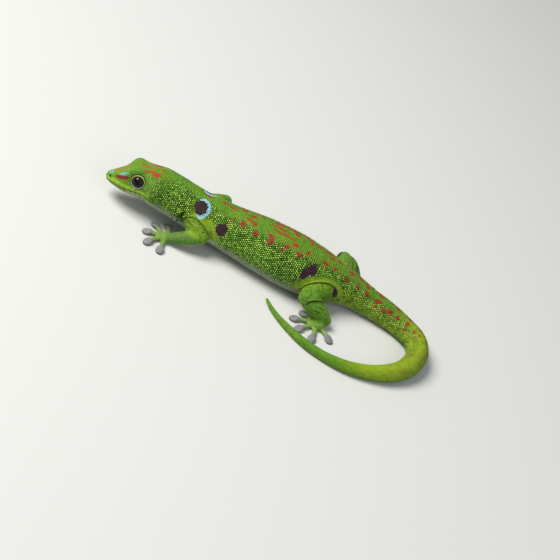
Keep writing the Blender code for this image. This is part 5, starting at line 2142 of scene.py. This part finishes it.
# %% Eyes
CORNEA_BULGE = 0.05
CORNEA_DEG = 38.0
EYE_SEGMENTS = 64
EYE_ROWS = 44
EYE_COLOURS = {
    "streaks": (0.013, 0.006, 0.008, 1),
    "iris": (0.040, 0.016, 0.021, 1),
    "pupil": (0.003, 0.002, 0.003, 1),
    "edge": (0.006, 0.003, 0.004, 1),
}
STREAK_SCALE = 9.0
STREAK_STEP = (0.35, 0.68)
PUPIL_EDGE = (0.34, 0.40)
IRIS_EDGE = (0.56, 0.68)
EYE_GLOSS = {"Roughness": 0.24, "Specular IOR Level": 0.05, "Coat Weight": 0.30, "Coat Roughness": 0.03}


def make_eye(name, way):
    centre, look = eye_frame(way)
    turn = np.array(Vector(look).to_track_quat("Z", "Y").to_matrix())
    polar = np.linspace(0, math.pi, EYE_ROWS + 1)[1:-1]
    spin = np.arange(EYE_SEGMENTS) * FULL_TURN / EYE_SEGMENTS
    radius = EYE_RADIUS + CORNEA_BULGE * bell(np.degrees(polar), 0, CORNEA_DEG)
    ring = np.stack([np.cos(spin), np.sin(spin)], 1)
    turned = zip(radius * np.sin(polar), radius * np.cos(polar))
    rings = np.array([np.column_stack([ring * across, np.full(len(spin), above)]) for across, above in turned])
    poles = np.array([[0, 0, EYE_RADIUS + CORNEA_BULGE], [0, 0, -EYE_RADIUS]])
    points, faces = shell(rings, poles, 0)
    mesh = mesh_of(name, points @ turn.T + centre, [face[::-1] for face in faces])
    away = np.linalg.norm(points[:, :2], axis=1)
    angle = np.degrees(np.arctan2(away, points[:, 2])) / 90
    store(mesh, "iris", np.column_stack([points[:, :2] / np.maximum(away, 1e-6)[:, None], angle]))
    eye = link_new(name, mesh)
    mesh.shade_smooth()
    to_metres(eye)
    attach(eye, "root")
    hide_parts(name.replace("eyeball", "eye"))
    return eye


def eye_material():
    made, shader = new_material("gecko_eye")
    graph = Graph(made.node_tree)
    iris = graph.attribute("iris")
    across = graph.parts(iris)[2]
    streaks = graph.step(graph.noise(iris, STREAK_SCALE, 3.0), *STREAK_STEP)
    colour = graph.mix(streaks, EYE_COLOURS["streaks"], EYE_COLOURS["iris"])
    colour = graph.mix(graph.step(across, *PUPIL_EDGE), EYE_COLOURS["pupil"], colour)
    colour = graph.mix(graph.step(across, *IRIS_EDGE), colour, EYE_COLOURS["edge"])
    graph.fill(shader, {"Base Color": colour, **EYE_GLOSS})
    return made


EYE_FINISH = eye_material()
for name, way in (("eyeball_left", 1), ("eyeball_right", -1)):
    make_eye(name, way).data.materials.append(EYE_FINISH)
print("eyes made")

# %% [markdown]
# Last, the pattern objects that were only copied from are taken away, and the finished model's box is printed
# with its triangles, beside the box of the solids it dresses that was printed at the start.

# %% Sizes and finish
for pattern in (bead, granule, plate):
    bpy.data.objects.remove(pattern)
look_box = [list(corner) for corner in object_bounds()]
total = sum(count_triangles(o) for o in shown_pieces() if o.type == "MESH")
print("all triangles:", total, "visual box in mm:", [[round(v / MM, 2) for v in c] for c in look_box])
